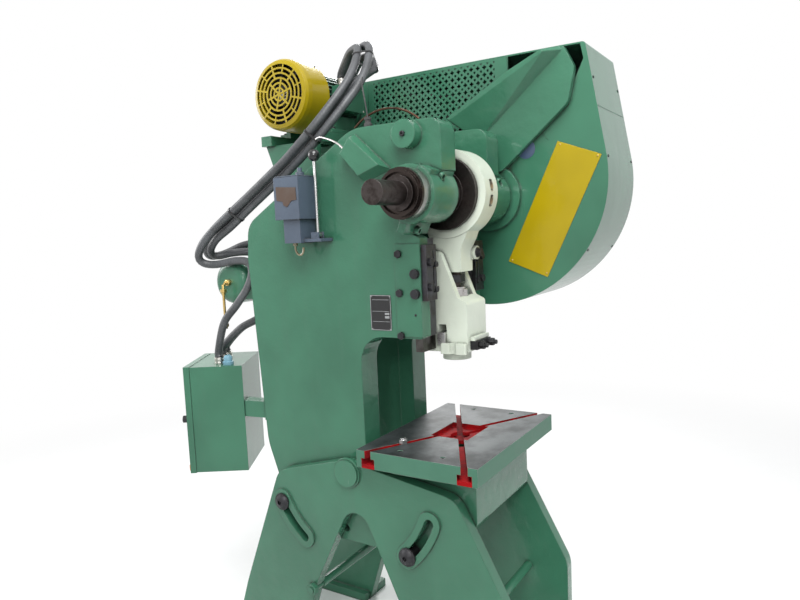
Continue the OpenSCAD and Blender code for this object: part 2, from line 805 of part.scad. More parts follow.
module ram() {
    wall = 22;
    cavity_r = ball_r + throw + 2;
    travel = 2 * throw;
    color(CREAM) on_table() difference() {
        union() {
            slab(-ram_w / 2, ram_w / 2) ram_side();
            translate([-wing_w / 2, wing_front, ram_h + 10]) cube([wing_w, wing_back - wing_front, 600 - ram_h - 10]);
            translate([0, 0, ram_h - 30]) cylinder(r = 46, h = 60);
            // Lugs behind the shank clamp
            translate([-52, -90, clamp_h + 14]) cube([104, 34, 12]);
        }
        // Seat for the pitman, open at the front and the top
        translate([-ram_w / 2 + wall, -80, recess_h]) cube([ram_w - 2 * wall, 80 + wing_back - 8, 160]);
        translate([0, 0, ball_h - ball_r - travel - 2]) cylinder(r = cavity_r, h = 100);
        translate([0, 0, ram_h - 31]) cylinder(d = shank_d, h = shank_depth + 1);
        // Slot for the knock-out bar
        translate([-ram_w, bar_y, bar_h]) cube([2 * ram_w, bar_size[0], 62]);
        // Relief of the right wall behind the pitman's clamping lug
        translate([ram_w / 2 - wall - 1, -60, lug_h - lug_r - travel - 3]) cube([wall + 2, 63 + throw, 80]);
        translate([-1, -100, ram_h - 31]) cube([2, 100, 50]);
        for (x = [-34, 34])
            rod_y(-97, -30, x, clamp_h, 7, 32);
    }
}

module ball_cap() {
    color(STEEL) on_table() difference() {
        union() {
            translate([0, 0, recess_h]) cylinder(r = 44, h = 22);
            translate([0, 0, recess_h + 22]) cylinder(r = 36, h = 6);
        }
        translate([0, 0, recess_h - 1]) cylinder(r = screw_r + throw + 1, h = 40);
        for (a = [0:60:300])
            rotate([0, 0, a]) translate([40, -5, recess_h + 8]) cube([10, 10, 20]);
    }
}

clamp_y = -73;

module shank_clamp() {
    color(DARK) on_table() difference() {
        translate([-50, clamp_y - 24, clamp_h - 14]) cube([100, 23.5, 27]);
        for (x = [-34, 34])
            rod_y(clamp_y - 30, clamp_y + 5, x, clamp_h, 7.4, 32);
    }
}

module clamp_studs() {
    color(STEEL) on_table() for (x = [-34, 34]) {
        rod_y(clamp_y - 52, clamp_y + 40, x, clamp_h, 7, 32);
        rod_y(clamp_y - 42, clamp_y - 30, x, clamp_h, 13, 6);
    }
}

module knockout_bar() {
    color(STEEL) on_table() translate([-80, bar_y + slide_gap, bar_h + slide_gap])
        cube([160, bar_size[0] - 2 * slide_gap, bar_size[1]]);
}

// Flywheel and belts

function groove(x, r) = [[r + 1, x - 8.5], [r - 13, x - 6.5], [r - 13, x + 6.5], [r + 1, x + 8.5]];

module wheel_section(r, w, rim, web, hub_r, bore) {
    difference() {
        polygon([[bore, 0], [hub_r, 0], [hub_r, w / 2 - web / 2], [r - rim, w / 2 - web / 2], [r - rim, 0],
            [r - 2, 0], [r, 2], [r, w - 2], [r - 2, w], [r - rim, w], [r - rim, w / 2 + web / 2],
            [hub_r, w / 2 + web / 2], [hub_r, w], [bore, w]]);
        for (i = [0:belts - 1])
            polygon(groove(belt_x - wheel_x + (i - (belts - 1) / 2) * groove_pitch, r));
    }
}

module flywheel() {
    color(DARK) on_table() difference() {
        translate([wheel_x, 0, crank_h]) rotate([0, 90, 0]) rotate_extrude($fn = 96)
            wheel_section(wheel_r, wheel_w, 62, 32, 95, shaft_r2 + 13);
        for (a = [0:60:300])
            translate([0, 0, crank_h]) rotate([a, 0, 0]) rod_x(wheel_x, wheel_x + wheel_w, [0, 190], 48);
    }
}

module flywheel_bush() {
    color(BRONZE) on_table() difference() {
        rod_x(wheel_x, wheel_x + wheel_w, [0, crank_h], shaft_r2 + 13);
        rod_x(wheel_x - 1, wheel_x + wheel_w + 1, [0, crank_h], shaft_r2 + run_gap);
    }
}

module v_belts() {
    color("#222222") on_table() for (i = [0:belts - 1])
        slab(belt_x + (i - (belts - 1) / 2) * groove_pitch - belt_w / 2, belt_x + (i - (belts - 1) / 2) * groove_pitch + belt_w / 2)
            difference() {
                polygon(loop2([0, crank_h], wheel_r - 12 + belt_h, motor_c, pulley_r - 12 + belt_h));
                polygon(loop2([0, crank_h], wheel_r - 12, motor_c, pulley_r - 12));
            }
}

// Belt guard

module guard_outline(grow = 0) {
    hull() {
        translate(guard_c) circle(guard_r + grow, $fn = 96);
        translate([650, guard_top - 140]) circle(140 + grow, $fn = 48);
        translate([-336, guard_top - 12]) circle(12 + grow, $fn = 16);
    }
}

mesh_low = crank_h + 140;

module belt_guard() {
    color(GREEN) on_table() difference() {
        slab(guard_x, guard_x + guard_w) guard_outline();
        slab(guard_x + sheet_t, guard_x + guard_w - sheet_t) guard_outline(-sheet_t);
        // Openings of the inner panel: the open corner, the mesh, the bearing and the motor shaft
        slab(guard_x - 1, guard_x + sheet_t + 1) {
            polygon([[-82, guard_top - 5], [-330, guard_top - 5], [-340, guard_top - 53], [-281, guard_top - 176],
                [-262, guard_top - 208], [-82, guard_top - 223]]);
            polygon([[-70, guard_top - 22], [480, guard_top - 22], [480, mesh_low + 15], [120, mesh_low + 15], [-70, guard_top - 208]]);
        }
        rod_x(guard_x - 1, guard_x + sheet_t + 1, [0, crank_h], journal_r + 14);
        rod_x(guard_x - 1, guard_x + sheet_t + 1, motor_c, 60);
        // Way to the clutch through the outer panel
        rod_x(guard_x + guard_w - sheet_t - 1, guard_x + guard_w + 1, [0, crank_h], 90);
    }
}

// Perforated sheet over the belts
module guard_mesh() {
    color(GREEN) on_table() slab(guard_x - 2, guard_x)
        polygon([[-80, guard_top - 4], [495, guard_top - 4], [495, mesh_low], [112, mesh_low], [-80, guard_top - 220]]);
}

// Cast arm from the head to the front of the guard: a flat web, a splayed flange above its crease
// and a ring round the shaft
crease_at = [-24, crank_h + 242];
crease_a = atan2(206, -242);
crease_l = 345;

module on_crease() {
    translate(crease_at) rotate(crease_a) children();
}

module guard_arm() {
    web_x = guard_x - 26;
    color(GREEN) on_table() difference() {
        union() {
            slab(web_x, guard_x - 2) on_crease()
                polygon(rounded([[-90, -14, 10], [crease_l, -14, 16], [crease_l - 22, 75, 40], [235, 143, 50], [-90, 143, 20]]));
            hull() {
                slab(web_x + 2, web_x + 14) on_crease() polygon([[-66, -8], [crease_l - 12, -8], [crease_l - 12, 7], [-66, 7]]);
                slab(web_x - 44, web_x - 36) on_crease()
                    polygon([[-90, -124], [-84, -112], [50, -82], [165, -60], [290, -22], [290, -33], [164, -72], [45, -94]]);
            }
            rod_x(half, web_x + 12, [40, crank_h + 160], 48);
            rod_x(guard_x - 16, guard_x - 2, [0, crank_h], 118);
        }
        rod_x(half - 1, guard_x, [0, crank_h], journal_r + 14);
    }
}

module yellow_plate() {
    color(YELLOW) on_table() slab(guard_x - 1.5, guard_x)
        translate(guard_c) polygon([[-263, 122], [-407, 66], [-219, -329], [-78, -273]]);
}

// Motor

foot_y = 100;
rail_t = 36;

module motor_mount() {
    top = motor_c[1] - motor_foot;
    low = top - rail_t;
    plate = [330, 490];
    plate_t = 18;
    color(GREEN) on_table() {
        for (s = [-1, 1])
            translate([-40, motor_c[0] + s * foot_y - 24, low]) cube([guard_x + 38, 48, rail_t]);
        for (x = [-20, 150])
            slab(x, x + 22) polygon([on_slope(plate[0] + 5, plate_t - 1), on_slope(plate[1] - 5, plate_t - 1),
                [motor_c[0] + foot_y + 20, low + 2], [motor_c[0] - foot_y - 20, low + 2]]);
        slab(-110, 196) polygon([on_slope(plate[0], 0), on_slope(plate[1], 0),
            on_slope(plate[1], plate_t), on_slope(plate[0], plate_t)]);
    }
}

module motor_body() {
    fin_h = 14;
    foot_x0 = cowl_x + cowl_l + 4;
    foot_l = motor_x1 - 30 - foot_x0;
    color(GREEN) on_table() difference() {
        union() {
            slab(motor_x0 + 14, motor_x1 - 16) translate(motor_c) polygon([for (i = [0:fins - 1], k = [0:3])
                let (r = k == 0 || k == 3 ? motor_r - fin_h : motor_r, a = (i + [0.3, 0.36, 0.64, 0.7][k]) * 360 / fins)
                r * [cos(a), sin(a)]]);
            // End shields, the rear one inside the cowl's rim
            rod_x(motor_x0 - 8, motor_x0 + 10, motor_c, cowl_r - 3 - run_gap);
            rod_x(motor_x0 + 9, motor_x0 + 18, motor_c, motor_r + 4);
            rod_x(motor_x1 - 18, motor_x1, motor_c, motor_r + 4);
            for (s = [-1, 1]) {
                translate([foot_x0, motor_c[0] + s * foot_y - 22, motor_c[1] - motor_foot]) cube([foot_l, 44, 16]);
                translate([foot_x0, motor_c[0] + s * (foot_y - 18) - 10, motor_c[1] - motor_foot]) cube([foot_l, 20, 72]);
            }
            // Seat of the terminal box
            translate([box_at[0] + 5, box_at[1] + box_size[1], box_at[2] + 10])
                cube([box_size[0] - 10, 26, box_size[2] - 20]);
        }
        rod_x(motor_x0 - 9, motor_x1 + 1, motor_c, rotor_r + run_gap);
    }
}

module fan_cowl() {
    rings = [8, 25, 42, 59, 76, 93];
    slot = 10.5;
    color(YELLOW) on_table() translate([0, motor_c[0], motor_c[1]]) {
        difference() {
            translate([cowl_x, 0, 0]) rotate([0, 90, 0]) rotate_extrude($fn = 72)
                polygon([[0, 0], [cowl_r - 22, 0], [cowl_r - 8, 5], [cowl_r - 2, 16], [cowl_r, 34], [cowl_r, cowl_l],
                    [cowl_r - 3, cowl_l], [cowl_r - 3, 34], [cowl_r - 5, 18], [cowl_r - 11, 9], [cowl_r - 24, 3], [0, 3]]);
            for (r = rings)
                slab(cowl_x - 1, cowl_x + 4) difference() {
                    circle(r + slot, $fn = 48);
                    circle(r, $fn = 48);
                    for (a = [15:60:180])
                        rotate(a + (r > 50 ? 0 : 30)) square([2 * cowl_r, 7], center = true);
                    if (r > 70) for (a = [45:60:180]) rotate(a) square([2 * cowl_r, 5], center = true);
                }
        }
    }
}

module terminal_box() {
    color(GREEN) on_table() translate(box_at) {
        translate([0, 11, 0]) cube([box_size[0], box_size[1] - 11, box_size[2]]);
        translate([-3, 0, -3]) cube([box_size[0] + 6, 12, box_size[2] + 3]);
    }
}

module rotor_shaft() {
    color(STEEL) on_table() rod_x(cowl_x + 20, belt_x + 36, motor_c, rotor_r);
}

module motor_pulley() {
    w = 68;
    color(DARK) on_table() translate([belt_x - w / 2, motor_c[0], motor_c[1]]) rotate([0, 90, 0]) rotate_extrude()
        difference() {
            polygon([[rotor_r, 0], [pulley_r, 0], [pulley_r, w], [rotor_r, w]]);
            for (i = [0:belts - 1])
                polygon(groove(w / 2 + (i - (belts - 1) / 2) * groove_pitch, pulley_r));
        }
}

module cooling_fan() {
    color(DARK) on_table() translate([0, motor_c[0], motor_c[1]]) difference() {
        union() {
            rod_x(cowl_x + 22, cowl_x + 62, [0, 0], 34);
            rod_x(cowl_x + 56, cowl_x + 60, [0, 0], 108);
            for (a = [0:45:315])
                rotate([a, 0, 0]) translate([cowl_x + 22, 30, -1.5]) cube([36, 76, 3]);
        }
        rod_x(cowl_x, cowl_x + 80, [0, 0], rotor_r);
    }
}

// Hand oil pump on the left cheek

module oil_pump() {
    low = 637;
    color(GREY) on_table() mirror([1, 0, 0]) {
        translate([half, pump_at[0], pump_at[1]]) cube(pump_size);
        translate([half, pump_at[0] + 10, low]) cube([pump_size[0] - 12, 67, pump_at[1] - low]);
        // Foot with the ears of the lever
        translate([half, lever_at[0] - 22, low + 2]) cube([62, 68, 10]);
        translate([half + 31, lever_at[0] - 12, low + 12]) cube([5, 30, 20]);
        translate([half + 54, lever_at[0] - 12, low + 12]) cube([5, 30, 20]);
        rod_x(half + 30, half + 60, lever_at, 4, 32);
        // Filler on the lid
        translate([half + 35, pump_at[0] + 35, pump_at[1] + pump_size[2]]) cylinder(r = 14, h = 16);
        translate([half + 35, pump_at[0] + 35, pump_at[1] + pump_size[2] + 16]) cylinder(r = 8, h = 14);
    }
}

module pump_lever() {
    x = half + 45;
    color(STEEL) on_table() mirror([1, 0, 0]) difference() {
        union() {
            translate([x, lever_at[0], lever_at[1] + 2]) cylinder(r = lever_r, h = lever_l - 2, $fn = 32);
            rod_x(x - 8.4, x + 8.4, lever_at, 9);
        }
        rod_x(x - 9, x + 9, lever_at, 4 + run_gap, 32);
    }
}

module pump_knob() {
    color("#1c1c1e") on_table() mirror([1, 0, 0])
        difference() {
            translate([half + 45, lever_at[0], lever_at[1] + lever_l + 12]) sphere(19);
            translate([half + 45, lever_at[0], lever_at[1]]) cylinder(r = lever_r, h = lever_l, $fn = 32);
        }
}

// Oil pipe that arches over the head, from the boss on the left cheek to the back
module oil_pipe() {
    span = 230;
    rise = 44;
    pipe_r = 3.5;
    r = (pow(span / 2, 2) + rise * rise) / (2 * rise);
    open_a = asin(span / 2 / r);
    foot = pipe_r * cos(open_a) + slide_gap;
    color("#6b4a32") on_table() translate([-half + 18, 118, head_h + foot + rise - r])
        rotate([90, 0, 90]) rotate([0, 0, 90 - open_a]) rotate_extrude(angle = 2 * open_a)
            translate([r, 0]) circle(pipe_r, $fn = 32);
}

// Electric cabinet: its local X runs along the panel that faces the front left

module at_cabinet() {
    on_table() translate(cabinet_at) rotate([0, 0, cabinet_yaw]) children();
}

// Hinge pin of the cabinet's door and the heights of its two knuckles
hinge_r = 6;
hinge_at = [-door_t / 2, cabinet_size[2] + 8];
hinge_z = [45, cabinet_size[1] - 85];
knuckle_l = 20;
pin_r = 3;

module cabinet() {
    w = cabinet_size[0];
    h = cabinet_size[1];
    d = cabinet_size[2];
    color(GREEN) at_cabinet() {
        difference() {
            cube([w, d, h]);
            translate([-1, wall_t, wall_t]) cube([w - wall_t + 1, d - 2 * wall_t, h - 2 * wall_t]);
            for (y = cabinet_gland_y)
                translate([w / 2, y, h - 5]) cylinder(r = conduit_r - 2, h = 6);
        }
        for (z = hinge_z) {
            translate([hinge_at[0], d - 1, z]) cube([25, 5, knuckle_l]);
            translate([hinge_at[0], hinge_at[1], z]) {
                cylinder(r = hinge_r, h = knuckle_l);
                cylinder(r = pin_r, h = 2 * knuckle_l);
            }
        }
    }
}

// Arm from the back of the left cheek to the cabinet's side
module cabinet_bracket() {
    low = 10;
    high = 80;
    foot = [back_at(low), back_at(high)];
    color(GREEN) {
        on_table() slab(-half + 8, -inner - 8)
            polygon([[foot[0] + 0.3, low], [foot[0] + 12, low], [foot[1] + 12, high], [foot[1] + 0.3, high]]);
        hull() {
            on_table() slab(-half + 14, -inner - 20)
                polygon([[foot[0] + 4, low + 6], [foot[0] + 12, low + 6], [foot[1] + 12, high - 6], [foot[1] + 4, high - 6]]);
            at_cabinet() translate([cabinet_size[0] + 0.3, 4, low + 6 - cabinet_at[2]]) cube([4, 60, high - low - 12]);
        }
    }
}

// Back edge of a cheek at a height above the table
function back_at(z) = 664 + (z + 64) * (back_y + 6 - 664) / (585 + 64);

module cabinet_door() {
    h = cabinet_size[1];
    d = cabinet_size[2];
    color(GREEN) at_cabinet() difference() {
        union() {
            translate([-door_t - 0.5, -2, -2]) cube([door_t, d - 8, h + 4]);
            for (z = hinge_z)
                translate([hinge_at[0], 0, z + knuckle_l + slide_gap]) {
                    translate([-2.5, d - 12, 0]) cube([5, hinge_at[1] - d + 12, knuckle_l - 1]);
                    translate([0, hinge_at[1], 0]) cylinder(r = hinge_r, h = knuckle_l - 1);
                }
        }
        translate([-door_t + 2, 1, 1]) cube([door_t, d - 14, h - 2]);
        rod_x(-door_t - 1, -door_t + 4, [24, h / 2], 8 + run_gap);
        for (z = hinge_z)
            translate([hinge_at[0], hinge_at[1], z]) cylinder(r = pin_r + run_gap, h = 2 * knuckle_l + 1);
    }
}

module door_latch() {
    h = cabinet_size[1];
    color(DARK) at_cabinet() {
        rod_x(-door_t - 14, -door_t + 12, [24, h / 2], 8);
        rod_x(-door_t - 20, -door_t - 1, [24, h / 2], 13);
        translate([-door_t + 6, 12, h / 2 - 5]) cube([4, 24, 10]);
    }
}

module air_tank() {
    low = tank_at[1] - 60;
    high = tank_at[1] - 20;
    color(GREEN) on_table() {
        translate([tank_x, tank_at[0], tank_at[1]]) rotate([0, 90, 0]) rotate_extrude()
            polygon(concat([[0, 0]], arc([tank_r - 30, 30], 30, -90, 0, 6),
                arc([tank_r - 30, tank_l - 30], 30, 0, 90, 6), [[0, tank_l]]));
        for (x = [-155, 140])
            slab(x, x + 25) polygon([[back_at(low) + 0.3, low], [tank_at[0] - tank_r + 25, low],
                [tank_at[0] - tank_r + 15, high], [back_at(high) + 0.3, high]]);
    }
}

// Glands of the conduits
module glands() {
    color(STEEL) on_table() for (x = box_gland_x)
        translate([x, box_at[1] + box_size[1] / 2, box_at[2] + box_size[2]]) cylinder(r = gland_r, h = gland_l, $fn = 32);
    color(STEEL) at_cabinet() for (y = cabinet_gland_y)
        translate([cabinet_size[0] / 2, y, cabinet_size[1]]) cylinder(r = gland_r, h = gland_l, $fn = 32);
}

// A tube along a route
module tube(route, r, sides = 10) {
    n = len(route);
    rings = [for (i = [0:n - 1])
        let (t = unit(route[min(i + 1, n - 1)] - route[max(i - 1, 0)]),
             side = unit(cross(t, [1, 0, 0])), up = cross(side, t))
        for (k = [0:sides - 1]) route[i] + r * (cos(360 * k / sides) * side + sin(360 * k / sides) * up)];
    walls = [for (i = [0:n - 2], k = [0:sides - 1])
        let (a = i * sides + k, b = i * sides + (k + 1) % sides)
        each [[b, b + sides, a + sides], [b, a + sides, a]]];
    ends = [[for (k = [sides - 1:-1:0]) k], [for (k = [0:sides - 1]) (n - 1) * sides + k]];
    polyhedron(rings, concat(walls, ends));
}

module conduit_a() {
    color(GREY) on_table() tube(ROUTE_A, conduit_r);
}

module conduit_b() {
    color(GREY) on_table() tube(ROUTE_B, conduit_r);
}

module conduit_c() {
    color(GREY) on_table() tube(ROUTE_C, conduit_r);
}

leg_left();
leg_right();
tie_rods();
tie_nuts();
c_frame();
bearing_caps();
cap_bolts();
main_bushes();
tilt_pins();
tilt_bolts();
table_plate();
table_screws();
slot_bolt();
gib_left();
gib_right();
gib_liners();
gib_bolts();
cheek_bolts();
data_plate();
crankshaft();
eccentric_bush();
shaft_collar();
clutch_hub();
pitman();
big_end_bush();
pinch_bolt();
ball_screw();
lock_nut();
ram();
ball_cap();
shank_clamp();
clamp_studs();
knockout_bar();
flywheel();
flywheel_bush();
v_belts();
belt_guard();
guard_arm();
guard_mesh();
yellow_plate();
motor_mount();
motor_body();
fan_cowl();
terminal_box();
rotor_shaft();
motor_pulley();
cooling_fan();
oil_pump();
pump_lever();
pump_knob();
oil_pipe();
cabinet();
cabinet_bracket();
cabinet_door();
door_latch();
air_tank();
glands();
conduit_a();
conduit_b();
conduit_c();
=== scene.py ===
# %% [markdown]
# # An open-back inclinable eccentric press
#
# A press like this one stamps small parts out of sheet. Two heavy cheeks of green cast iron hang between
# two arched legs. A motor at the top drives a flywheel behind a sheet-metal guard. The crank turns in open
# bearings, and its pitman pushes the cream-coloured slide down on the table.
#
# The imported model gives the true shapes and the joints. This lesson dresses it: paint, bare steel, oil,
# small fasteners, a perforated sheet and three loose cable conduits.

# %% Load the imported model
import math
from functools import partialmethod

import bmesh
import bpy
from mathutils import Matrix, Vector
from mathutils.geometry import convex_hull_2d


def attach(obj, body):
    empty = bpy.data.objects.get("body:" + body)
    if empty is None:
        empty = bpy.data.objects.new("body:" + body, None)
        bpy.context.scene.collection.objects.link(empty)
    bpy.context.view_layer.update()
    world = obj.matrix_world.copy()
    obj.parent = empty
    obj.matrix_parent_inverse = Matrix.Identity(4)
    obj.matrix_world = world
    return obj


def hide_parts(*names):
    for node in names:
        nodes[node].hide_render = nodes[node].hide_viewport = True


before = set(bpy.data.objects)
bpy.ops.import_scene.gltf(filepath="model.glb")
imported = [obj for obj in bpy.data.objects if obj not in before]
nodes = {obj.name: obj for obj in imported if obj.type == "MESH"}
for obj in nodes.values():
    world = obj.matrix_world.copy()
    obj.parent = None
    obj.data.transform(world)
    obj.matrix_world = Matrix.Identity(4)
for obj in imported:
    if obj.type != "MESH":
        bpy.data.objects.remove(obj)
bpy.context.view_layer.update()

# %% [markdown]
# ## Places on the machine
#
# The drawing of the press measures from the middle of the table top: x to the operator's right, then how
# far back, then how far up, all in millimetres. Blender works in metres from the floor, so one small
# function turns a place on the drawing into a place in the scene.

# %% From the drawing to the scene
MM = 0.001
DIE_BACK, TABLE_UP = -285, 830


def at(x, back, up):
    """A place on the drawing, in millimetres from the middle of the table top, in scene metres."""
    return Vector((x, back + DIE_BACK, up + TABLE_UP)) * MM


def in_scene(name, data):
    """A new object in the scene."""
    thing = bpy.data.objects.new(name, data)
    bpy.context.scene.collection.objects.link(thing)
    return thing


print("middle of the table top:", tuple(at(0, 0, 0)))

# %% [markdown]
# ## The camera
#
# The photographer stood at the front left, about 2.3 m from the machine, with the camera a little above
# the slide. It looked slightly down and was held a little askew. Three angles say this: the turn from
# straight ahead, the tilt down and the roll. A matrix whose columns are the camera's right, up and
# backward directions sets all three at once.

# %% Stand where the photographer stood
YAW, PITCH, ROLL = (math.radians(a) for a in (57.79, 5.85, 2.52))
CAMERA_PLACE = Vector((-1.9127, -1.2791, 1.4903))
FOCAL_PIXELS, PICTURE_WIDTH, SENSOR = 670.95, 800, 36.0

forward = Vector((math.sin(YAW) * math.cos(PITCH), math.cos(YAW) * math.cos(PITCH), -math.sin(PITCH)))
level = Vector((math.cos(YAW), -math.sin(YAW), 0))
down = forward.cross(level)
right = math.cos(ROLL) * level + math.sin(ROLL) * down
under = math.cos(ROLL) * down - math.sin(ROLL) * level

camera = in_scene("camera", bpy.data.cameras.new("camera"))
turned_camera = Matrix((right, -under, -forward)).transposed().to_4x4()
camera.matrix_world = Matrix.Translation(CAMERA_PLACE) @ turned_camera
camera.data.sensor_width = SENSOR
camera.data.lens = FOCAL_PIXELS * SENSOR / PICTURE_WIDTH
camera.data.clip_start, camera.data.clip_end = 0.05, 60
bpy.context.scene.camera = camera
print("lens", round(camera.data.lens, 2), "mm")

# %% [markdown]
# ## Sums in shader trees
#
# Every finish below is a small tree of shader nodes. Long sums are dull to plug in one by one, so a
# `Wire` stands for a value on its way through a tree: `a + b` puts in a Math node, `a | b` is the larger
# of two values, and `between` turns a value into a soft yes or no.

# %% A value on its way through a tree
def add(tree, kind, inputs=None, **settings):
    """Adds a node. Each input is plugged in if it is a wire or a socket, and set if it is a value."""
    node = tree.nodes.new(kind)
    for name, value in settings.items():
        setattr(node, name, value)
    for name, value in (inputs or {}).items():
        value = getattr(value, "socket", value)
        if isinstance(value, bpy.types.NodeSocket):
            tree.links.new(value, node.inputs[name])
        else:
            node.inputs[name].default_value = value
    return node


class Wire:
    """A value in a tree. Its sums are held between 0 and 1, unless it is free, as a place is."""

    def __init__(self, tree, socket, free=False):
        self.tree, self.socket, self.free = tree, socket, free

    def calc(self, operation, other=0.0, swap=False):
        terms = {0: other, 1: self} if swap else {0: self, 1: other}
        node = add(self.tree, "ShaderNodeMath", terms, operation=operation, use_clamp=not self.free)
        return Wire(self.tree, node.outputs[0], self.free)

    __add__ = partialmethod(calc, "ADD")
    __mul__ = partialmethod(calc, "MULTIPLY")
    __rsub__ = partialmethod(calc, "SUBTRACT", swap=True)
    __or__ = partialmethod(calc, "MAXIMUM")
    __lt__ = partialmethod(calc, "LESS_THAN")
    __gt__ = partialmethod(calc, "GREATER_THAN")
    __abs__ = partialmethod(calc, "ABSOLUTE")

    def between(self, low, high):
        """0 below low, 1 above high and a soft step between."""
        node = add(self.tree, "ShaderNodeMapRange", {"Value": self, "From Min": low, "From Max": high},
                   interpolation_type="SMOOTHSTEP")
        return Wire(self.tree, node.outputs[0])


print("sums in shader trees ready")

# %% [markdown]
# ## Finishes
#
# A `Finish` is a material with short words for its nodes. Its `layers` lie over each other as coats do on
# the real press. The Bevel node makes sharp edges look rounded without a single new face, and it also
# tells where an edge is, so that paint can be chipped there.

# %% A material with short words for its nodes
def socket_name(word):
    return word.replace("_", " ").title().replace("Ior", "IOR")


def tint(colour, gain, lift=0.0):
    """A colour made darker or lighter, and paler."""
    return [min(gain * c + lift, 1) for c in colour]


class Finish:
    """A material, new or like another one, and the words to fill its tree."""

    def __init__(self, name, like=None, **values):
        self.material = like.copy() if like else bpy.data.materials.new(name)
        self.material.name = name
        self.material.use_nodes = True
        self.tree = self.material.node_tree
        self.shader = self.tree.nodes["Principled BSDF"]
        self.place = self.stretched(1, 1, 1)
        for word, value in values.items():
            self.shader.inputs[socket_name(word)].default_value = value

    def node(self, kind, inputs=None, output=0, **settings):
        return Wire(self.tree, add(self.tree, kind, inputs, **settings).outputs[output])

    def stretched(self, *scale):
        """The place on the piece in metres, stretched where a pattern has a direction."""
        place = self.node("ShaderNodeTexCoord", output="Object")
        return self.node("ShaderNodeMapping", {"Vector": place, "Scale": scale})

    def noise(self, scale, detail=4.0, rough=0.55, place=None):
        return self.node("ShaderNodeTexNoise", {"Vector": place or self.place, "Scale": scale,
                                                "Detail": detail, "Roughness": rough})

    def vector(self, operation, a, b=(0, 0, 0), output=0):
        return self.node("ShaderNodeVectorMath", {0: a, 1: b}, output, operation=operation)

    def split(self, vector):
        """The three parts of a place or a direction."""
        return [Wire(self.tree, part, free=True)
                for part in add(self.tree, "ShaderNodeSeparateXYZ", {0: vector}).outputs]

    def layers(self, colour, *over):
        """A colour under others, each (share, colour). Every colour is a wire or three numbers."""
        for share, upper in over:
            low, high = (c if isinstance(c, Wire) else (*c, 1.0) for c in (colour, upper))
            colour = self.node("ShaderNodeMix", {0: share, 6: low, 7: high}, 2, data_type="RGBA")
        return colour

    def rounded(self, radius, heights, strength, depth, edge_from=0.015, edge_to=0.16):
        """A bump over edges that look rounded, and how near a sharp edge each spot is."""
        soft = self.node("ShaderNodeBevel", {"Radius": radius}, samples=4)
        flat = self.node("ShaderNodeNewGeometry", output="Normal")
        edge = (1.0 - self.vector("DOT_PRODUCT", soft, flat, "Value")).between(edge_from, edge_to)
        return self.node("ShaderNodeBump", {"Height": heights, "Normal": soft, "Strength": strength,
                                            "Distance": depth}), edge

    def own_colour(self):
        """What the finish that this one is like plugs into its colour."""
        return Wire(self.tree, self.shader.inputs["Base Color"].links[0].from_socket)

    def shade(self, **wires):
        """Plugs wires into the shader and gives the material."""
        for word, wire in wires.items():
            self.tree.links.new(wire.socket, self.shader.inputs[socket_name(word)])
        return self.material


print("finishes can be made")

# %% [markdown]
# ## Paint
#
# The castings were brushed and sprayed with a glossy green enamel. The iron under it is a little lumpy,
# so the highlights wobble. The paint has an orange-peel skin, and old oil, dust and painted shade darken
# the corners. On sharp edges it has chipped to dark iron. One function makes every paint on the machine:
# noise at several sizes gives clouds, grime and orange peel, ambient occlusion finds the corners for the
# painted shade and grime there, and the bevel node finds the edges.

# %% A function for paint
GREEN = (0.041, 0.152, 0.090)
# One dark colour serves both the grime and the painted shade in the corners.
GRIME_AND_SHADE, BARE_IRON = (0.022, 0.024, 0.020), (0.10, 0.095, 0.09)
CORNER_REACH, LUMP_DEPTH = 0.024, 0.0030


def painted(name, colour, gloss=0.20, lumps=0.5, chips=0.5, grime=0.8, edge_radius=0.0025):
    """Gloss enamel over metal, with lumps of the casting, grime and painted shade in the corners and chipped
    edges.
    """
    paint = Finish(name, coat_weight=0.3, coat_roughness=0.07, specular_ior_level=0.3)
    clouds, spots = paint.noise(2.6, 3), paint.noise(75, 6, 0.72)
    lumpy, peel = paint.noise(26, 3, 0.5), paint.noise(420, 2, 0.5)
    runs = paint.noise(2.0, 5, 0.6, paint.stretched(11, 11, 1.1))
    corners = paint.node("ShaderNodeAmbientOcclusion", {"Distance": CORNER_REACH}, "AO", samples=4)
    normal, edge = paint.rounded(edge_radius, lumpy * lumps + peel * 0.06, 0.6, LUMP_DEPTH)

    dusty = runs.between(0.52, 0.78) * 0.16
    # Painted shade: ambient occlusion darkens corners and creases, mixed with oily streaks; grime also scales
    # the freckles.
    corner_shade_and_oil = (1.0 - corners).between(0.20, 0.58) * runs.between(0.22, 0.50) * grime
    dirt_and_shade = corner_shade_and_oil | spots.between(0.66, 0.74) * (0.45 * grime)
    chipped = edge * spots.between(0.5, 0.58) * chips
    tone = paint.layers(tint(colour, 0.84), (clouds.between(0.3, 0.7), tint(colour, 1.10)),
                        (dusty, tint(colour, 0.55, 0.05)), (dirt_and_shade, GRIME_AND_SHADE), (chipped, BARE_IRON))
    return paint.shade(base_color=tone, roughness=runs * 0.10 + gloss + dirt_and_shade * 0.35, normal=normal)


green_enamel = painted("green_enamel", GREEN, lumps=0.35)
cast_green = painted("cast_green", GREEN, gloss=0.18, lumps=1.5, chips=0.35, edge_radius=0.006)
cream_enamel = painted("cream_enamel", (0.62, 0.67, 0.57), gloss=0.30, lumps=0.8, chips=0.25, grime=0.85)
yellow_enamel = painted("yellow_enamel", (0.36, 0.265, 0.0), gloss=0.30, lumps=0.25, chips=0.35)
pump_enamel = painted("pump_enamel", (0.080, 0.105, 0.145), gloss=0.25, lumps=0.9, chips=0.8)
print("paints:", [m.name for m in (green_enamel, cast_green, cream_enamel, yellow_enamel, pump_enamel)])

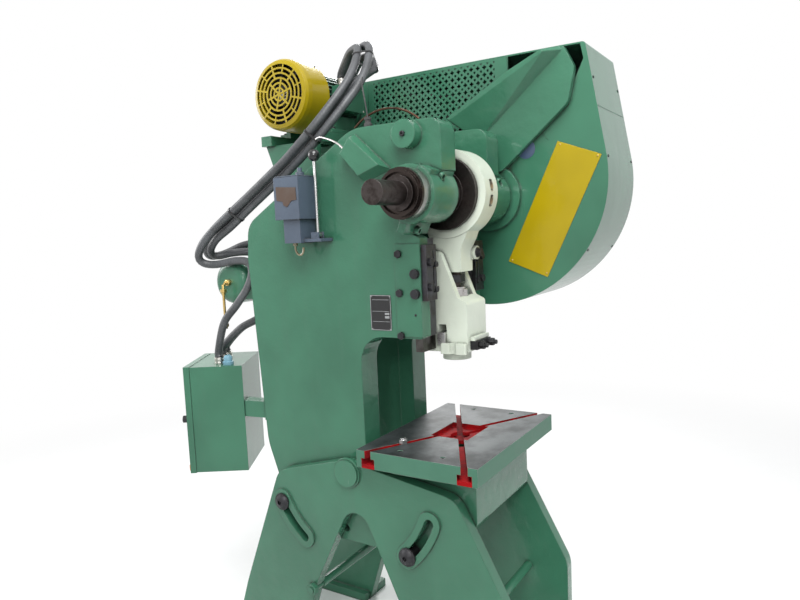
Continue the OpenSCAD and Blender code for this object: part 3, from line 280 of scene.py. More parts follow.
# %% [markdown]
# ## Bare metal
#
# Turned and ground steel carries fine lines that run one way. A noise that is squeezed hard along one
# axis draws such lines: round a shaft, or along a ground face. Old oil leaves brown, duller patches. The
# crank, its eccentric and the gibs are the darkest, since oil has baked on them for years.

# %% A function for bare metal
ROUND_THE_SHAFT, ALONG_A_ROD, ALONG_A_GIB = (260, 2, 2), (3, 3, 90), (3, 3, 110)
WORN_RADIUS, CUT_DEPTH = 0.0012, 0.0006


def bare_metal(name, colour, stain, rough, lines=(1, 1, 1), line_depth=0.35, stains=0.5, metallic=1.0):
    """Metal with tool lines, oily stains and edges that are polished by use."""
    metal = Finish(name, metallic=metallic)
    cuts = metal.noise(5, 3, 0.6, metal.stretched(*lines))
    blots, specks = metal.noise(22, 6, 0.65), metal.noise(190, 4, 0.7)
    normal, edge = metal.rounded(WORN_RADIUS, cuts * line_depth + specks * 0.12, 0.5, CUT_DEPTH)
    oiled = blots.between(0.42, 0.66) * stains
    pitted = specks.between(0.56, 0.70) * stains
    tone = metal.layers(colour, (oiled | pitted, stain), (edge * 0.6, tint(colour, 1.6, 0.09)))
    return metal.shade(base_color=tone, roughness=oiled * 0.22 + rough + cuts * 0.10, normal=normal)


crank_steel = bare_metal("crank_steel", (0.070, 0.060, 0.057), (0.022, 0.016, 0.014), 0.34,
                         ROUND_THE_SHAFT, 0.5, 0.8)
collar_steel = bare_metal("collar_steel", (0.52, 0.51, 0.50), (0.20, 0.17, 0.15), 0.20, ROUND_THE_SHAFT, 0.5)
bright_steel = bare_metal("bright_steel", (0.56, 0.56, 0.56), (0.26, 0.24, 0.22), 0.22, ALONG_A_ROD, 0.25, 0.35)
blackened = bare_metal("blackened", (0.036, 0.036, 0.040), (0.014, 0.013, 0.012), 0.38, stains=0.6,
                       metallic=0.7)
gib_steel = bare_metal("gib_steel", (0.075, 0.075, 0.085), (0.05, 0.04, 0.035), 0.34, ALONG_A_GIB, 0.4, 0.6)
wheel_iron = bare_metal("wheel_iron", (0.15, 0.15, 0.15), (0.05, 0.045, 0.04), 0.45, ROUND_THE_SHAFT, 0.5, 0.6)
bearing_bronze = bare_metal("bearing_bronze", (0.50, 0.30, 0.11), (0.14, 0.08, 0.035), 0.30,
                            ROUND_THE_SHAFT, 0.3)
oiled_copper = bare_metal("oiled_copper", (0.085, 0.050, 0.032), (0.030, 0.022, 0.016), 0.42, stains=0.8)
fitting_nickel = bare_metal("fitting_nickel", (0.50, 0.49, 0.46), (0.20, 0.17, 0.13), 0.28)
fitting_brass = bare_metal("fitting_brass", (0.62, 0.44, 0.16), (0.22, 0.14, 0.06), 0.28)
plate_silver = bare_metal("plate_silver", (0.42, 0.43, 0.44), (0.20, 0.20, 0.20), 0.34, stains=0.3)
print("bare metals ready")

# %% [markdown]
# ## The table's own finish
#
# The table plate has three finishes on one casting. Its top is ground steel, grey and a little stained.
# Its sides are green like the frame. The crossed T-slots and the sunk pocket are painted red. Separate
# pieces for these would leave cracks, so one material asks where each spot is: how far from the middle
# line of each slot, and how far below the top. The sums use the slot's own sizes.

# %% Ground top, green sides, red slots
SLOT_ANGLE = math.radians(28.6)
SLOT_NECK, SLOT_HEAD, SLOT_HEAD_TOP = 0.018, 0.040, -0.025
POCKET = (0.160, 0.132)
PAINT_OVER, TOP_SKIN = 0.0008, -0.0004


def table_paint():
    """Steel on top, red in the slots and the pocket, and green elsewhere."""
    paint = Finish("table_plate_finish")
    x, y, z = paint.split(paint.vector("SUBTRACT", paint.place, at(0, 0, 0)))

    def within(value, width):
        return abs(value) < width / 2 + PAINT_OVER

    below_top, in_head = z < TOP_SKIN, z < SLOT_HEAD_TOP + PAINT_OVER
    red = within(x, POCKET[0]) * within(y, POCKET[1]) * below_top
    for angle in (SLOT_ANGLE, -SLOT_ANGLE):
        across = x * -math.sin(angle) + y * math.cos(angle)
        red = red | within(across, SLOT_NECK) * below_top | within(across, SLOT_HEAD) * in_head
    facing = paint.split(paint.node("ShaderNodeNewGeometry", output="True Normal"))[2]
    on_top = (z > TOP_SKIN) * (facing > 0.5)

    grinding = paint.noise(4, 4, 0.6, paint.stretched(1.5, 130, 1))
    blots, specks = paint.noise(9, 7, 0.62), paint.noise(130, 5, 0.7)
    heights = grinding * on_top * 0.25 + (1.0 - on_top) * paint.noise(30, 3)
    normal, edge = paint.rounded(0.0015, heights, 0.4, 0.0009, 0.01, 0.12)
    steel_tone = paint.layers((0.055, 0.063, 0.065), (blots.between(0.35, 0.68), (0.018, 0.021, 0.021)),
                              (specks.between(0.62, 0.72), (0.024, 0.021, 0.018)))
    green_tone = paint.layers((0.040, 0.138, 0.086), (blots.between(0.3, 0.7), (0.047, 0.156, 0.098)))
    worn = paint.noise(14, 6, 0.7).between(0.46, 0.62)
    red_tone = paint.layers((0.30, 0.003, 0.005), (worn, (0.14, 0.005, 0.007)))
    bare_edge = edge * paint.noise(60, 5, 0.7).between(0.36, 0.46) * (1.0 - red)
    tone = paint.layers(green_tone, (on_top, steel_tone), (red, red_tone), (bare_edge, (0.30, 0.30, 0.28)))
    return paint.shade(base_color=tone, metallic=(on_top | bare_edge) * (1.0 - red) * 0.2,
                       roughness=blots * 0.24 + 0.34 + red * 0.3,
                       specular_ior_level=0.5 - (red | on_top) * 0.38, normal=normal)


table_finish = table_paint()
print("table finish ready")

# %% [markdown]
# ## Slide, pitman and collar
#
# Three more castings wear two finishes each. The slide's thick middle is cream, and the wings that run
# in the gibs are ground steel, which grease has turned dark. Burnt oil has stained the pitman round the
# two slots in its rim. The stroke collar is oily and dark, but polished on the band beside the bearing.
# Each starts as a copy of a finish from above and asks for the place of the spot.

# %% Castings with two finishes
RAM_HALF = 0.068
CROWN_UP, RIM_RADIUS, RIM_SLOTS = 770, 0.138, (172, 192)
BRIGHT_FROM = -0.300


def slide_paint():
    paint = Finish("slide_finish", cream_enamel)
    on_wing = abs(paint.split(paint.place)[0]) > RAM_HALF + 0.0005
    spread = paint.noise(24, 5).between(0.35, 0.65)
    greasy = paint.layers((0.085, 0.080, 0.075), (spread, (0.030, 0.026, 0.022)))
    return paint.shade(base_color=paint.layers(paint.own_colour(), (on_wing, greasy)), metallic=on_wing)


def pitman_paint():
    paint = Finish("pitman_finish", cream_enamel)
    stains = []
    for turn in RIM_SLOTS:
        a = math.radians(turn)
        spot = at(2, 0, CROWN_UP) + RIM_RADIUS * Vector((0, math.cos(a), math.sin(a)))
        away = paint.vector("MULTIPLY", paint.vector("SUBTRACT", paint.place, spot), (1.6, 1.0, 1.0))
        ragged = paint.vector("LENGTH", away, output="Value") + paint.noise(70, 5) * 0.006
        stains.append(1.0 - ragged.between(0.019, 0.026))
    brown = paint.layers((0.30, 0.22, 0.12), (paint.noise(50, 5).between(0.4, 0.6), (0.09, 0.055, 0.03)))
    return paint.shade(base_color=paint.layers(paint.own_colour(), ((stains[0] | stains[1]) * 0.9, brown)))


def collar_paint():
    paint = Finish("collar_finish", collar_steel)
    bright = paint.split(paint.place)[0].between(BRIGHT_FROM - 0.002, BRIGHT_FROM + 0.002)
    return paint.shade(base_color=paint.layers((0.050, 0.040, 0.036), (bright, paint.own_colour())))


slide_finish, pitman_finish, collar_finish = slide_paint(), pitman_paint(), collar_paint()
print("two-coloured castings ready")

# %% [markdown]
# ## Rubber, plastic and conduit
#
# The last finishes are soft: black rubber belts with a dull, dusty skin, a shiny black knob, and the grey
# plastic skin of the conduits, which shows the faint turns of the steel spiral inside. The conduit's
# pattern follows its own length, so it reads the piece's UV map, where U is the distance along it.

# %% Rubber, plastic and conduit
def soft_finish(name, colour, rough, dust, coat=0.0):
    """Plastic or rubber with dusty patches and paler edges."""
    skin = Finish(name, coat_weight=coat, coat_roughness=0.08)
    patches = skin.noise(16, 6, 0.65)
    normal, edge = skin.rounded(0.0008, skin.noise(300, 3), 0.25, 0.0004)
    tone = skin.layers(colour, (patches.between(0.4, 0.7) * dust, tint(colour, 0.5, 0.09)),
                       (edge * 0.4, tint(colour, 1.4, 0.02)))
    return skin.shade(base_color=tone, roughness=patches * 0.15 + rough, normal=normal)


def conduit_skin():
    """Grey plastic over a spiral whose turns show as faint ribs."""
    skin = Finish("conduit_skin")
    spiral = skin.node("ShaderNodeMapping", {"Vector": skin.node("ShaderNodeUVMap"), "Scale": (180, 1, 1)})
    ribs = skin.node("ShaderNodeTexWave", {"Vector": spiral, "Scale": 0.32, "Distortion": 0.0}, 1,
                     bands_direction="DIAGONAL")
    grime = skin.noise(13, 6, 0.6)
    tone = skin.layers((0.078, 0.082, 0.088), (grime.between(0.35, 0.7), (0.040, 0.042, 0.045)),
                       (ribs * 0.12, (0.16, 0.17, 0.172)))
    bump = skin.node("ShaderNodeBump", {"Height": ribs, "Strength": 0.25, "Distance": 0.0006})
    return skin.shade(base_color=tone, roughness=grime * 0.2 + 0.33, normal=bump)


belt_rubber = soft_finish("belt_rubber_finish", (0.016, 0.016, 0.016), 0.62, 0.7)
black_knob = soft_finish("black_knob", (0.004, 0.004, 0.005), 0.14, 0.02, coat=0.3)
sealed_blue = soft_finish("sealed_blue", (0.045, 0.075, 0.14), 0.42, 0.3)
pale_blue = soft_finish("pale_blue", (0.16, 0.33, 0.42), 0.45, 0.3)
orange_mark = soft_finish("orange_mark", (0.55, 0.20, 0.02), 0.5, 0.2)
tank_glass = soft_finish("tank_glass", (0.20, 0.17, 0.09), 0.12, 0.1, coat=0.6)
brown_plaque = soft_finish("brown_plaque", (0.065, 0.036, 0.022), 0.50, 0.25)
conduit_finish = conduit_skin()
print("soft finishes ready")

# %% [markdown]
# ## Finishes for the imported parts
#
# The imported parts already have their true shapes. Each one only needs its finish in its material slot.

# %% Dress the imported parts
FINISH_OF_NODES = {
    green_enamel: "belt_guard guard_mesh motor_mount terminal_box cabinet cabinet_bracket cabinet_door "
                  "air_tank tie_rods tilt_pins tie_nuts cap_bolts",
    cast_green: "leg_left leg_right c_frame bearing_caps guard_arm motor_body",
    pitman_finish: "pitman",
    slide_finish: "ram",
    table_finish: "table_plate",
    yellow_enamel: "yellow_plate fan_cowl",
    pump_enamel: "oil_pump",
    crank_steel: "crankshaft eccentric_bush clutch_hub ball_screw",
    collar_finish: "shaft_collar",
    collar_steel: "ball_cap",
    bright_steel: "pump_lever knockout_bar slot_bolt rotor_shaft",
    blackened: "tilt_bolts table_screws gib_bolts cheek_bolts pinch_bolt lock_nut shank_clamp clamp_studs "
               "door_latch cooling_fan",
    gib_steel: "gib_left gib_right",
    wheel_iron: "flywheel motor_pulley",
    bearing_bronze: "main_bushes big_end_bush gib_liners flywheel_bush",
    oiled_copper: "oil_pipe",
    fitting_nickel: "glands",
    belt_rubber: "v_belts",
    black_knob: "pump_knob data_plate",
    conduit_finish: "conduit_a conduit_b conduit_c",
}
dressed = set()
for finish, names in FINISH_OF_NODES.items():
    for name in names.split():
        dressed.add(name)
        for slot in nodes[name].material_slots:
            slot.material = finish
print("dressed", len(dressed), "parts; left bare:", sorted(set(nodes) - dressed))

# %% [markdown]
# ## Turned, bent and boxed shapes
#
# Most small parts are one of four shapes. A turned part is an outline spun round its middle line. A pipe
# is a ring of points carried along a smooth line. A prism joins two outlines, and a block is a box with
# its edges taken off. Writing these once keeps every later cell short.

# %% Small shapes
def circle(count):
    """The cosine and sine of directions spread evenly round a circle."""
    return [(math.cos(math.tau * k / count), math.sin(math.tau * k / count)) for k in range(count)]


def bridge(bm, ring, other):
    """Joins two rings of corners by a band of faces."""
    for k in range(len(ring)):
        nxt = (k + 1) % len(ring)
        bm.faces.new([ring[k], ring[nxt], other[nxt], other[k]])


def turned(profile, sides=24):
    """Spins [(radius, height), ...] round Z. A radius of 0 closes the end in one point."""
    bm = bmesh.new()
    rings = [[bm.verts.new((radius * c, radius * s, height)) for c, s in circle(sides if radius > 0 else 1)]
             for radius, height in profile]
    for low, high in zip(rings, rings[1:]):
        for k in range(sides):
            n = k + 1
            corners = [low[k % len(low)], low[n % len(low)], high[n % len(high)], high[k % len(high)]]
            bm.faces.new(list(dict.fromkeys(corners)))
    return bm


def prism(low, high):
    """A solid between two outlines that have the same number of corners."""
    bm = bmesh.new()
    low_ring, high_ring = ([bm.verts.new(place) for place in outline] for outline in (low, high))
    bm.faces.new(low_ring)
    bm.faces.new(list(reversed(high_ring)))
    bridge(bm, high_ring, low_ring)
    return bm


def block(size, round_by):
    """A box round the origin with its edges taken off."""
    bm = bmesh.new()
    bmesh.ops.create_cube(bm, size=1.0)
    bmesh.ops.scale(bm, vec=size, verts=bm.verts)
    bmesh.ops.bevel(bm, geom=bm.edges[:], offset=round_by, segments=1, affect="EDGES")
    return bm


def set_at(bm, place, way=(0, 0, 1), spin=0.0):
    """Turns the shape's Z to a direction and moves it to its place."""
    turn = Vector(way).to_track_quat("Z", "Y").to_matrix().to_4x4() @ Matrix.Rotation(spin, 4, "Z")
    bmesh.ops.transform(bm, matrix=Matrix.Translation(place) @ turn, verts=bm.verts)
    return bm


print("small shapes ready")

# %% Pipes along smooth lines
def smooth_line(route, step):
    """Points about a step apart on a smooth curve through places of the drawing."""
    points = [at(*place) for place in route]
    ends = [2 * points[0] - points[1]] + points + [2 * points[-1] - points[-2]]
    line = []
    for a, b, c, d in zip(ends, ends[1:], ends[2:], ends[3:]):
        count = max(1, round((c - b).length / step))
        for k in range(count):
            t = k / count
            line.append(0.5 * (2 * b + t * (c - a) + t * t * (2 * a - 5 * b + 4 * c - d)
                               + t ** 3 * (3 * b - a - 3 * c + d)))
    return line + [points[-1].copy()]


def pipe(line, radius, sides=14):
    """A closed tube along a line, with U as the length along it in metres and V once round."""
    bm = bmesh.new()
    uv = bm.loops.layers.uv.new("UVMap")
    side, gone = None, 0.0
    rings, lengths = [], []
    for k, point in enumerate(line):
        ahead = (line[min(k + 1, len(line) - 1)] - line[max(k - 1, 0)]).normalized()
        side = ahead.orthogonal() if side is None else side - side.dot(ahead) * ahead
        side.normalize()
        over = ahead.cross(side)
        gone += (point - line[k - 1]).length if k else 0
        rings.append([bm.verts.new(point + radius * (c * side + s * over)) for c, s in circle(sides)])
        lengths.append(gone)
    for k in range(len(rings) - 1):
        for s in range(sides):
            corners = [(k, s), (k, s + 1), (k + 1, s + 1), (k + 1, s)]
            face = bm.faces.new([rings[along][turn % sides] for along, turn in corners])
            for loop, (along, turn) in zip(face.loops, corners):
                loop[uv].uv = (lengths[along], turn / sides)
    bm.faces.new(rings[0])
    bm.faces.new(list(reversed(rings[-1])))
    return bm


print("pipes ready")

# %% [markdown]
# ## From shapes to pieces
#
# A piece needs three things to belong to the press: one mesh, a finish and the body that carries it.

# %% Join shapes into a piece
SHARP = math.radians(35)


def mesh_of(bm, name):
    """Turns a shape into a mesh and frees it."""
    mesh = bpy.data.meshes.new(name)
    bm.to_mesh(mesh)
    bm.free()
    return mesh


def make_piece(name, mesh, body):
    """Puts a dressed mesh in the scene as a piece that rides on a body."""
    piece = in_scene(name, mesh)
    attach(piece, body)
    print(name, "has", len(mesh.polygons), "faces")
    return piece


def finish_piece(name, shapes, finish, body="frame"):
    """Joins shapes into one smooth mesh with a finish and makes it a piece."""
    whole = bmesh.new()
    for shape in shapes:
        bmesh.ops.recalc_face_normals(shape, faces=shape.faces)
        part = mesh_of(shape, "part")
        whole.from_mesh(part)
        bpy.data.meshes.remove(part)
    mesh = mesh_of(whole, name)
    for polygon in mesh.polygons:
        polygon.use_smooth = True
    mesh.set_sharp_from_angle(angle=SHARP)
    mesh.materials.append(finish)
    return make_piece(name, mesh, body)


# %% [markdown]
# ## Three cable conduits
#
# Three stiff grey conduits stand up out of the motor's terminal box and turn over in a tight hairpin. Tied
# into one bundle they run down past the slope of the head, make one loop behind the left cheek and drop
# into the electric cabinet. Each follows the same route points as in the drawing. A smooth curve through
# them gives the natural sweep of a springy hose.

# %% Routes of the conduits
CONDUIT_RADIUS, CONDUIT_STEP = 0.014, 0.010
CONDUIT_ROUTES = {
    "a": [(125, 500, 1222), (125, 500, 1240), (102, 443, 1297), (72, 391, 1303), (31, 358, 1272),
          (-28, 334, 1213), (-79, 330, 1154), (-131, 346, 1091), (-168, 382, 1030), (-193, 437, 967),
          (-205, 505, 909), (-210, 584, 857), (-212, 670, 804), (-216, 755, 752), (-221, 835, 700),
          (-237, 887, 647), (-235, 916, 601), (-217, 912, 576), (-193, 875, 569), (-169, 800, 580),
          (-161, 747, 574), (-164, 727, 541), (-182, 736, 484), (-203, 777, 421), (-212, 834, 358),
          (-204, 881, 254), (-204, 881, 228)],
    "b": [(159, 500, 1222), (159, 500, 1240), (130, 431, 1315), (93, 372, 1317), (51, 323, 1283),
          (-3, 299, 1215), (-58, 295, 1146), (-114, 316, 1077), (-151, 361, 1009), (-173, 427, 940),
          (-182, 507, 879), (-185, 600, 821), (-187, 694, 763), (-193, 785, 703), (-197, 862, 658),
          (-183, 909, 617), (-158, 904, 599), (-127, 859, 607), (-129, 785, 610), (-129, 733, 602),
          (-99, 728, 577), (-76, 728, 511), (-75, 738, 425), (-88, 777, 365), (-120, 847, 324),
          (-153, 913, 254), (-153, 913, 228)],
    "c": [(193, 500, 1222), (193, 500, 1240), (159, 428, 1287), (118, 368, 1271), (80, 323, 1227),
          (16, 324, 1188), (-50, 338, 1144), (-98, 359, 1080), (-135, 408, 1010), (-157, 477, 939),
          (-166, 561, 877), (-170, 655, 820), (-171, 747, 769), (-178, 842, 708), (-178, 917, 653),
          (-167, 947, 616), (-137, 953, 597), (-107, 912, 606), (-88, 828, 635), (-72, 762, 635),
          (-49, 734, 596), (-36, 731, 514), (-39, 752, 427), (-55, 798, 362), (-85, 874, 321),
          (-102, 945, 254), (-102, 945, 228)],
}
CONDUIT_TOP, SOFT_FROM = 2.1460, 0.020


def under_the_top(point):
    """Eases a place near the highest point of the drawing's conduits, so that the curve stays below it."""
    over = point.z - (CONDUIT_TOP - SOFT_FROM)
    if over > 0:
        point.z = CONDUIT_TOP - SOFT_FROM * math.exp(-over / SOFT_FROM)
    return point


conduit_lines = {}
for letter, route in CONDUIT_ROUTES.items():
    line = [under_the_top(p) for p in smooth_line(route, CONDUIT_STEP)]
    conduit_lines[letter] = line
    conduit = finish_piece("cable_" + letter, [pipe(line, CONDUIT_RADIUS)], conduit_finish)
    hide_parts("conduit_" + letter)

# %% [markdown]
# ## Trees that set copies
#
# Geometry Nodes are made for what repeats. Both trees below take a mesh, a shape to copy and a finish.
# They set a copy of the shape on every point, turn the copies into plain mesh and dress it. The steps
# that both need come first.

# %% Steps that both trees share
def new_nodes(name, **inputs):
    """An empty tree with a mesh in, a mesh out and the named inputs, and the sockets of its inputs."""
    tree = bpy.data.node_groups.new(name, "GeometryNodeTree")
    for label, kind in {"Geometry": "Geometry", "Shape": "Object", "Finish": "Material", **inputs}.items():
        tree.interface.new_socket(label, in_out="INPUT", socket_type="NodeSocket" + kind)
    tree.interface.new_socket("Geometry", in_out="OUTPUT", socket_type="NodeSocketGeometry")
    return tree, tree.nodes.new("NodeGroupInput").outputs


def set_copies(tree, given, points, placing=None, weld=None):
    """Sets the given shape on points, welds the copies where they touch, dresses them and sends them out."""
    shape = add(tree, "GeometryNodeObjectInfo", {"Object": given["Shape"]}).outputs["Geometry"]
    placed = {"Points": points, "Instance": shape, **(placing or {})}
    copies = add(tree, "GeometryNodeInstanceOnPoints", placed).outputs[0]
    copies = add(tree, "GeometryNodeRealizeInstances", {"Geometry": copies}).outputs[0]
    if weld:
        copies = add(tree, "GeometryNodeMergeByDistance", {"Geometry": copies, "Distance": weld}).outputs[0]
    result = add(tree, "GeometryNodeSetMaterial", {"Geometry": copies, "Material": given["Finish"]})
    tree.links.new(result.outputs[0], tree.nodes.new("NodeGroupOutput").inputs[0])
    return tree


def made_by(tree, start, **inputs):
    """Runs a tree on a start mesh and gives the result as a plain mesh."""
    holder = in_scene("holder", start)
    modifier = holder.modifiers.new("nodes", "NODES")
    modifier.node_group = tree
    for socket in tree.interface.items_tree:
        if socket.in_out == "INPUT" and socket.name in inputs:
            modifier[socket.identifier] = inputs[socket.name]
    bpy.context.view_layer.update()
    depsgraph = bpy.context.evaluated_depsgraph_get()
    result = bpy.data.meshes.new_from_object(holder.evaluated_get(depsgraph))
    bpy.data.objects.remove(holder)
    return result


print("trees can be built")

# %% [markdown]
# ## Perforated sheet over the belts
#
# The belts run behind a punched sheet. Its holes are four-lobed flowers with small round holes between
# them, on a square grid. One tile has a flower in the middle and a quarter of a round hole at each
# corner, and a tree sets it on a grid of points. Afterwards the grid is cut along the window's outline,
# given its thickness, and framed by a plain margin, as on the real sheet.

# %% One tile of the perforated sheet
HOLE_PITCH = 0.0250
FLOWER_OUT, FLOWER_IN, LOBE_SHARPNESS, DOT_RADIUS = 0.0078, 0.0044, 1.5, 0.0040


def flower_tile():
    """A square tile with a four-lobed hole in it and a quarter hole at each corner, in the YZ plane."""
    bm = bmesh.new()
    half = HOLE_PITCH / 2
    lean = math.atan2(half - DOT_RADIUS, half)
    edge = [(half, half * math.tan(t)) for t in (0, 0.5 * lean, lean)]
    dot = [(half - DOT_RADIUS * math.sin(a), half - DOT_RADIUS * math.cos(a))
           for a in (math.pi / 6, math.pi / 4, math.pi / 3)]
    quarter = edge + dot + [(v, u) for u, v in reversed(edge[1:])]
    outer = [(u * c - v * s, u * s + v * c) for c, s in circle(4) for u, v in quarter]
    inner = []
    for u, v in outer:
        angle = math.atan2(v, u)
        radius = FLOWER_IN + (FLOWER_OUT - FLOWER_IN) * abs(math.cos(2 * angle)) ** LOBE_SHARPNESS
        inner.append((radius * math.cos(angle), radius * math.sin(angle)))
    bridge(bm, *([bm.verts.new((0, u, v)) for u, v in ring] for ring in (outer, inner)))
    return in_scene("flower_tile", mesh_of(bm, "flower_tile"))


tile = flower_tile()
print("one tile has", len(tile.data.polygons), "faces")

# %% Set the tiles on a grid
COLUMNS, ROWS, WELD = 22, 14, 0.0002


def grid_tree():
    tree, given = new_nodes("tiles_on_a_grid", Width="Float", Height="Float", Columns="Int", Rows="Int")
    grid = add(tree, "GeometryNodeMeshGrid", {"Size X": given["Width"], "Size Y": given["Height"],
                                              "Vertices X": given["Columns"], "Vertices Y": given["Rows"]})
    upright = add(tree, "GeometryNodeTransform",
                  {"Geometry": grid.outputs[0], "Rotation": (math.pi / 2, 0, math.pi / 2)})
    return set_copies(tree, given, upright.outputs[0], weld=WELD)


sheet_mesh = made_by(grid_tree(), bpy.data.meshes.new("start"), Shape=tile, Finish=green_enamel, Rows=ROWS,
                     Columns=COLUMNS, Width=HOLE_PITCH * (COLUMNS - 1), Height=HOLE_PITCH * (ROWS - 1))
bpy.data.objects.remove(tile)
print("grid of", COLUMNS * ROWS, "tiles,", len(sheet_mesh.polygons), "faces")

# %% Cut the sheet to its window and frame it
SHEET_X, SHEET_MIDDLE, SHEET_THICK = 286.4, (217, 1074), 0.0012
SHEET_OUTLINE = [(-79.5, 1233.5), (494.5, 1233.5), (494.5, 905.5), (112.5, 905.5), (-79.5, 1018.5)]
FIELD_OUTLINE = [(-34, 1226), (468, 1226), (468, 922), (122, 922), (-34, 1012)]
sheet_edge = [at(SHEET_X, *spot) for spot in SHEET_OUTLINE]
field_edge = [at(SHEET_X, *spot) for spot in FIELD_OUTLINE]


def cut_to(bm, outline):
    """Keeps what lies inside a convex outline in the sheet's plane."""
    middle = sum(outline, Vector()) / len(outline)
    for start, end in zip(outline, outline[1:] + outline[:1]):
        outward = (end - start).cross(Vector((1, 0, 0))).normalized()
        if outward.dot(middle - start) > 0:
            outward = -outward
        bmesh.ops.bisect_plane(bm, geom=bm.verts[:] + bm.edges[:] + bm.faces[:], plane_co=start,
                               plane_no=outward, clear_outer=True, dist=1e-6)


field, margin = bmesh.new(), bmesh.new()
field.from_mesh(sheet_mesh)
bpy.data.meshes.remove(sheet_mesh)
bmesh.ops.translate(field, vec=at(SHEET_X, *SHEET_MIDDLE), verts=field.verts)
cut_to(field, field_edge)
bridge(margin, *([margin.verts.new(place) for place in edge] for edge in (sheet_edge, field_edge)))
for sheet in (field, margin):
    bmesh.ops.recalc_face_normals(sheet, faces=sheet.faces)
    bmesh.ops.solidify(sheet, geom=sheet.faces[:], thickness=SHEET_THICK)
perforated = finish_piece("perforated_sheet", [field, margin], green_enamel)
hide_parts("guard_mesh")

# %% [markdown]
# ## Screws and rivets on marked points
#
# Small fasteners repeat all over the machine. A mesh of bare points marks their places, and each point
# carries the direction that its screw faces. The tree turns a copy of one head to every direction. Four
# heads do for all of them: a hexagon, a socket head, a flat round rivet and a ring nut. Each is drawn
# with a radius of 1, and the tree scales it.

# %% Heads and the tree that sets them
HEADS = {}
for name, sides, profile in (
        ("hexagon", 6, [(0, 0), (1.25, 0), (1.25, 0.14), (1.0, 0.14), (1.0, 0.62), (0.88, 0.72), (0, 0.72)]),
        ("socket", 14, [(0, 0.25), (0.48, 0.25), (0.48, 0.8), (0.9, 0.8), (1.0, 0.7), (1.0, 0), (0, 0)]),
        ("rivet", 10, [(0, 0), (1.0, 0), (0.92, 0.25), (0.6, 0.45), (0, 0.52)]),
        ("ring_nut", 12, [(0.84, 0), (1.04, 0), (1.04, 0.34), (0.98, 0.4), (0.84, 0.4)])):
    shape = turned(profile, sides)
    bmesh.ops.recalc_face_normals(shape, faces=shape.faces)
    HEADS[name] = in_scene(name, mesh_of(shape, name))


def heads_tree():
    tree, given = new_nodes("heads_on_points", Size="Float")
    way = add(tree, "GeometryNodeInputNamedAttribute", {"Name": "way"}, data_type="FLOAT_VECTOR").outputs[0]
    turn = add(tree, "FunctionNodeAlignRotationToVector", {"Vector": way}, axis="Z").outputs[0]
    return set_copies(tree, given, given["Geometry"], {"Rotation": turn, "Scale": given["Size"]})


HEADS_TREE = heads_tree()


def fasteners(name, head, radius, spots, finish=blackened, body="frame"):
    """Sets a head at every (place, direction) and makes them one piece."""
    points = bpy.data.meshes.new(name)
    points.from_pydata([tuple(place) for place, way in spots], [], [])
    ways = points.attributes.new("way", "FLOAT_VECTOR", "POINT")
    for k, (place, way) in enumerate(spots):
        ways.data[k].vector = way
    mesh = made_by(HEADS_TREE, points, Shape=HEADS[head], Size=radius * MM, Finish=finish)
    make_piece(name, mesh, body)


print("heads:", list(HEADS))

# %% [markdown]
# ## Where the fasteners sit
#
# Their places come from the drawing's own sizes: the guard's centre, the motor's middle, the terminal
# box and the pump's tank. The cabinet stands turned on the floor plan, so it has a small function of
# its own.

# %% Places that the fasteners share
LEFT, UP, DOWN, FRONT = (-1, 0, 0), (0, 0, 1), (0, 0, -1), (0, -1, 0)
CRANK_UP = 765
GUARD_X, GUARD_BACK, GUARD_UP = 288, 12, CRANK_UP + 47
MOTOR_BACK, MOTOR_UP, MOTOR_FOOT = 633, CRANK_UP + 393, 116
COWL_RADIUS, BOX_FRONT = 125, MOTOR_BACK - 160
CHEEK_X = -200
PUMP_X, PUMP_LID = CHEEK_X - 90, 845
GLAND_TOPS = (1, 14)
CABINET_CORNER, CABINET_TURN, CABINET_TOP = (-305, 930, -186), math.radians(-58), 390


def at_cabinet(x, y, z):
    """A place measured from the cabinet's corner, along its front panel, into it and up."""
    c, s = math.cos(CABINET_TURN), math.sin(CABINET_TURN)
    return at(CABINET_CORNER[0] + x * c - y * s, CABINET_CORNER[1] + x * s + y * c, CABINET_CORNER[2] + z)


def round_rim(x, degrees, out):
    """A place on the cowl's side and the way out from it."""
    a = math.radians(degrees)
    way = (0, math.cos(a), math.sin(a))
    radius = COWL_RADIUS + out
    return at(x, MOTOR_BACK + radius * way[1], MOTOR_UP + radius * way[2]), way


print("the cabinet's corner:", tuple(at_cabinet(0, 0, 0)))

# %% Set the fasteners
fasteners("boss_screw", "socket", 8, [(at(CHEEK_X - 40, 27, CRANK_UP + 173), LEFT)])
fasteners("guard_screws", "rivet", 5, [(at(x, back, up), way) for back, up, way in (
    (-366, 1125.5, (0, -0.985, 0.175)), (-410.8, 872, (0, -0.99, 0.14)), (-340, 570.6, (0, -0.825, -0.565)))
    for x in (306, 612)])
fasteners("cowl_screws", "socket", 4, [round_rim(48, a, -0.4) for a in (35, 125, 215, 305)])
fasteners("motor_bolts", "hexagon", 10, [(at(x, MOTOR_BACK + aside, MOTOR_UP - MOTOR_FOOT), UP)
                                         for x in (86, 230) for aside in (-111, 111)])
fasteners("box_screws", "rivet", 4, [(at(x, BOX_FRONT, up), FRONT) for x in (103, 217) for up in (1112, 1191)],
          fitting_nickel)
fasteners("pump_screws", "socket", 4, [(at(x, y, PUMP_LID), UP) for x in (-208, -282) for y in (393, 477)])
fasteners("gland_rings", "ring_nut", 17.3,
          [(at(x, 500, 1198 + up), UP) for x in (125, 159, 193) for up in GLAND_TOPS]
          + [(at_cabinet(95, y, CABINET_TOP + up), UP) for y in (60, 120, 180) for up in GLAND_TOPS],
          fitting_nickel)
fasteners("plate_rivets", "rivet", 3.2, [(at(GUARD_X - 1.5, GUARD_BACK + back, GUARD_UP + up), LEFT)
                                         for back, up in ((-271, 110), (-394, 62), (-216, -315), (-92, -269))],
          fitting_brass)
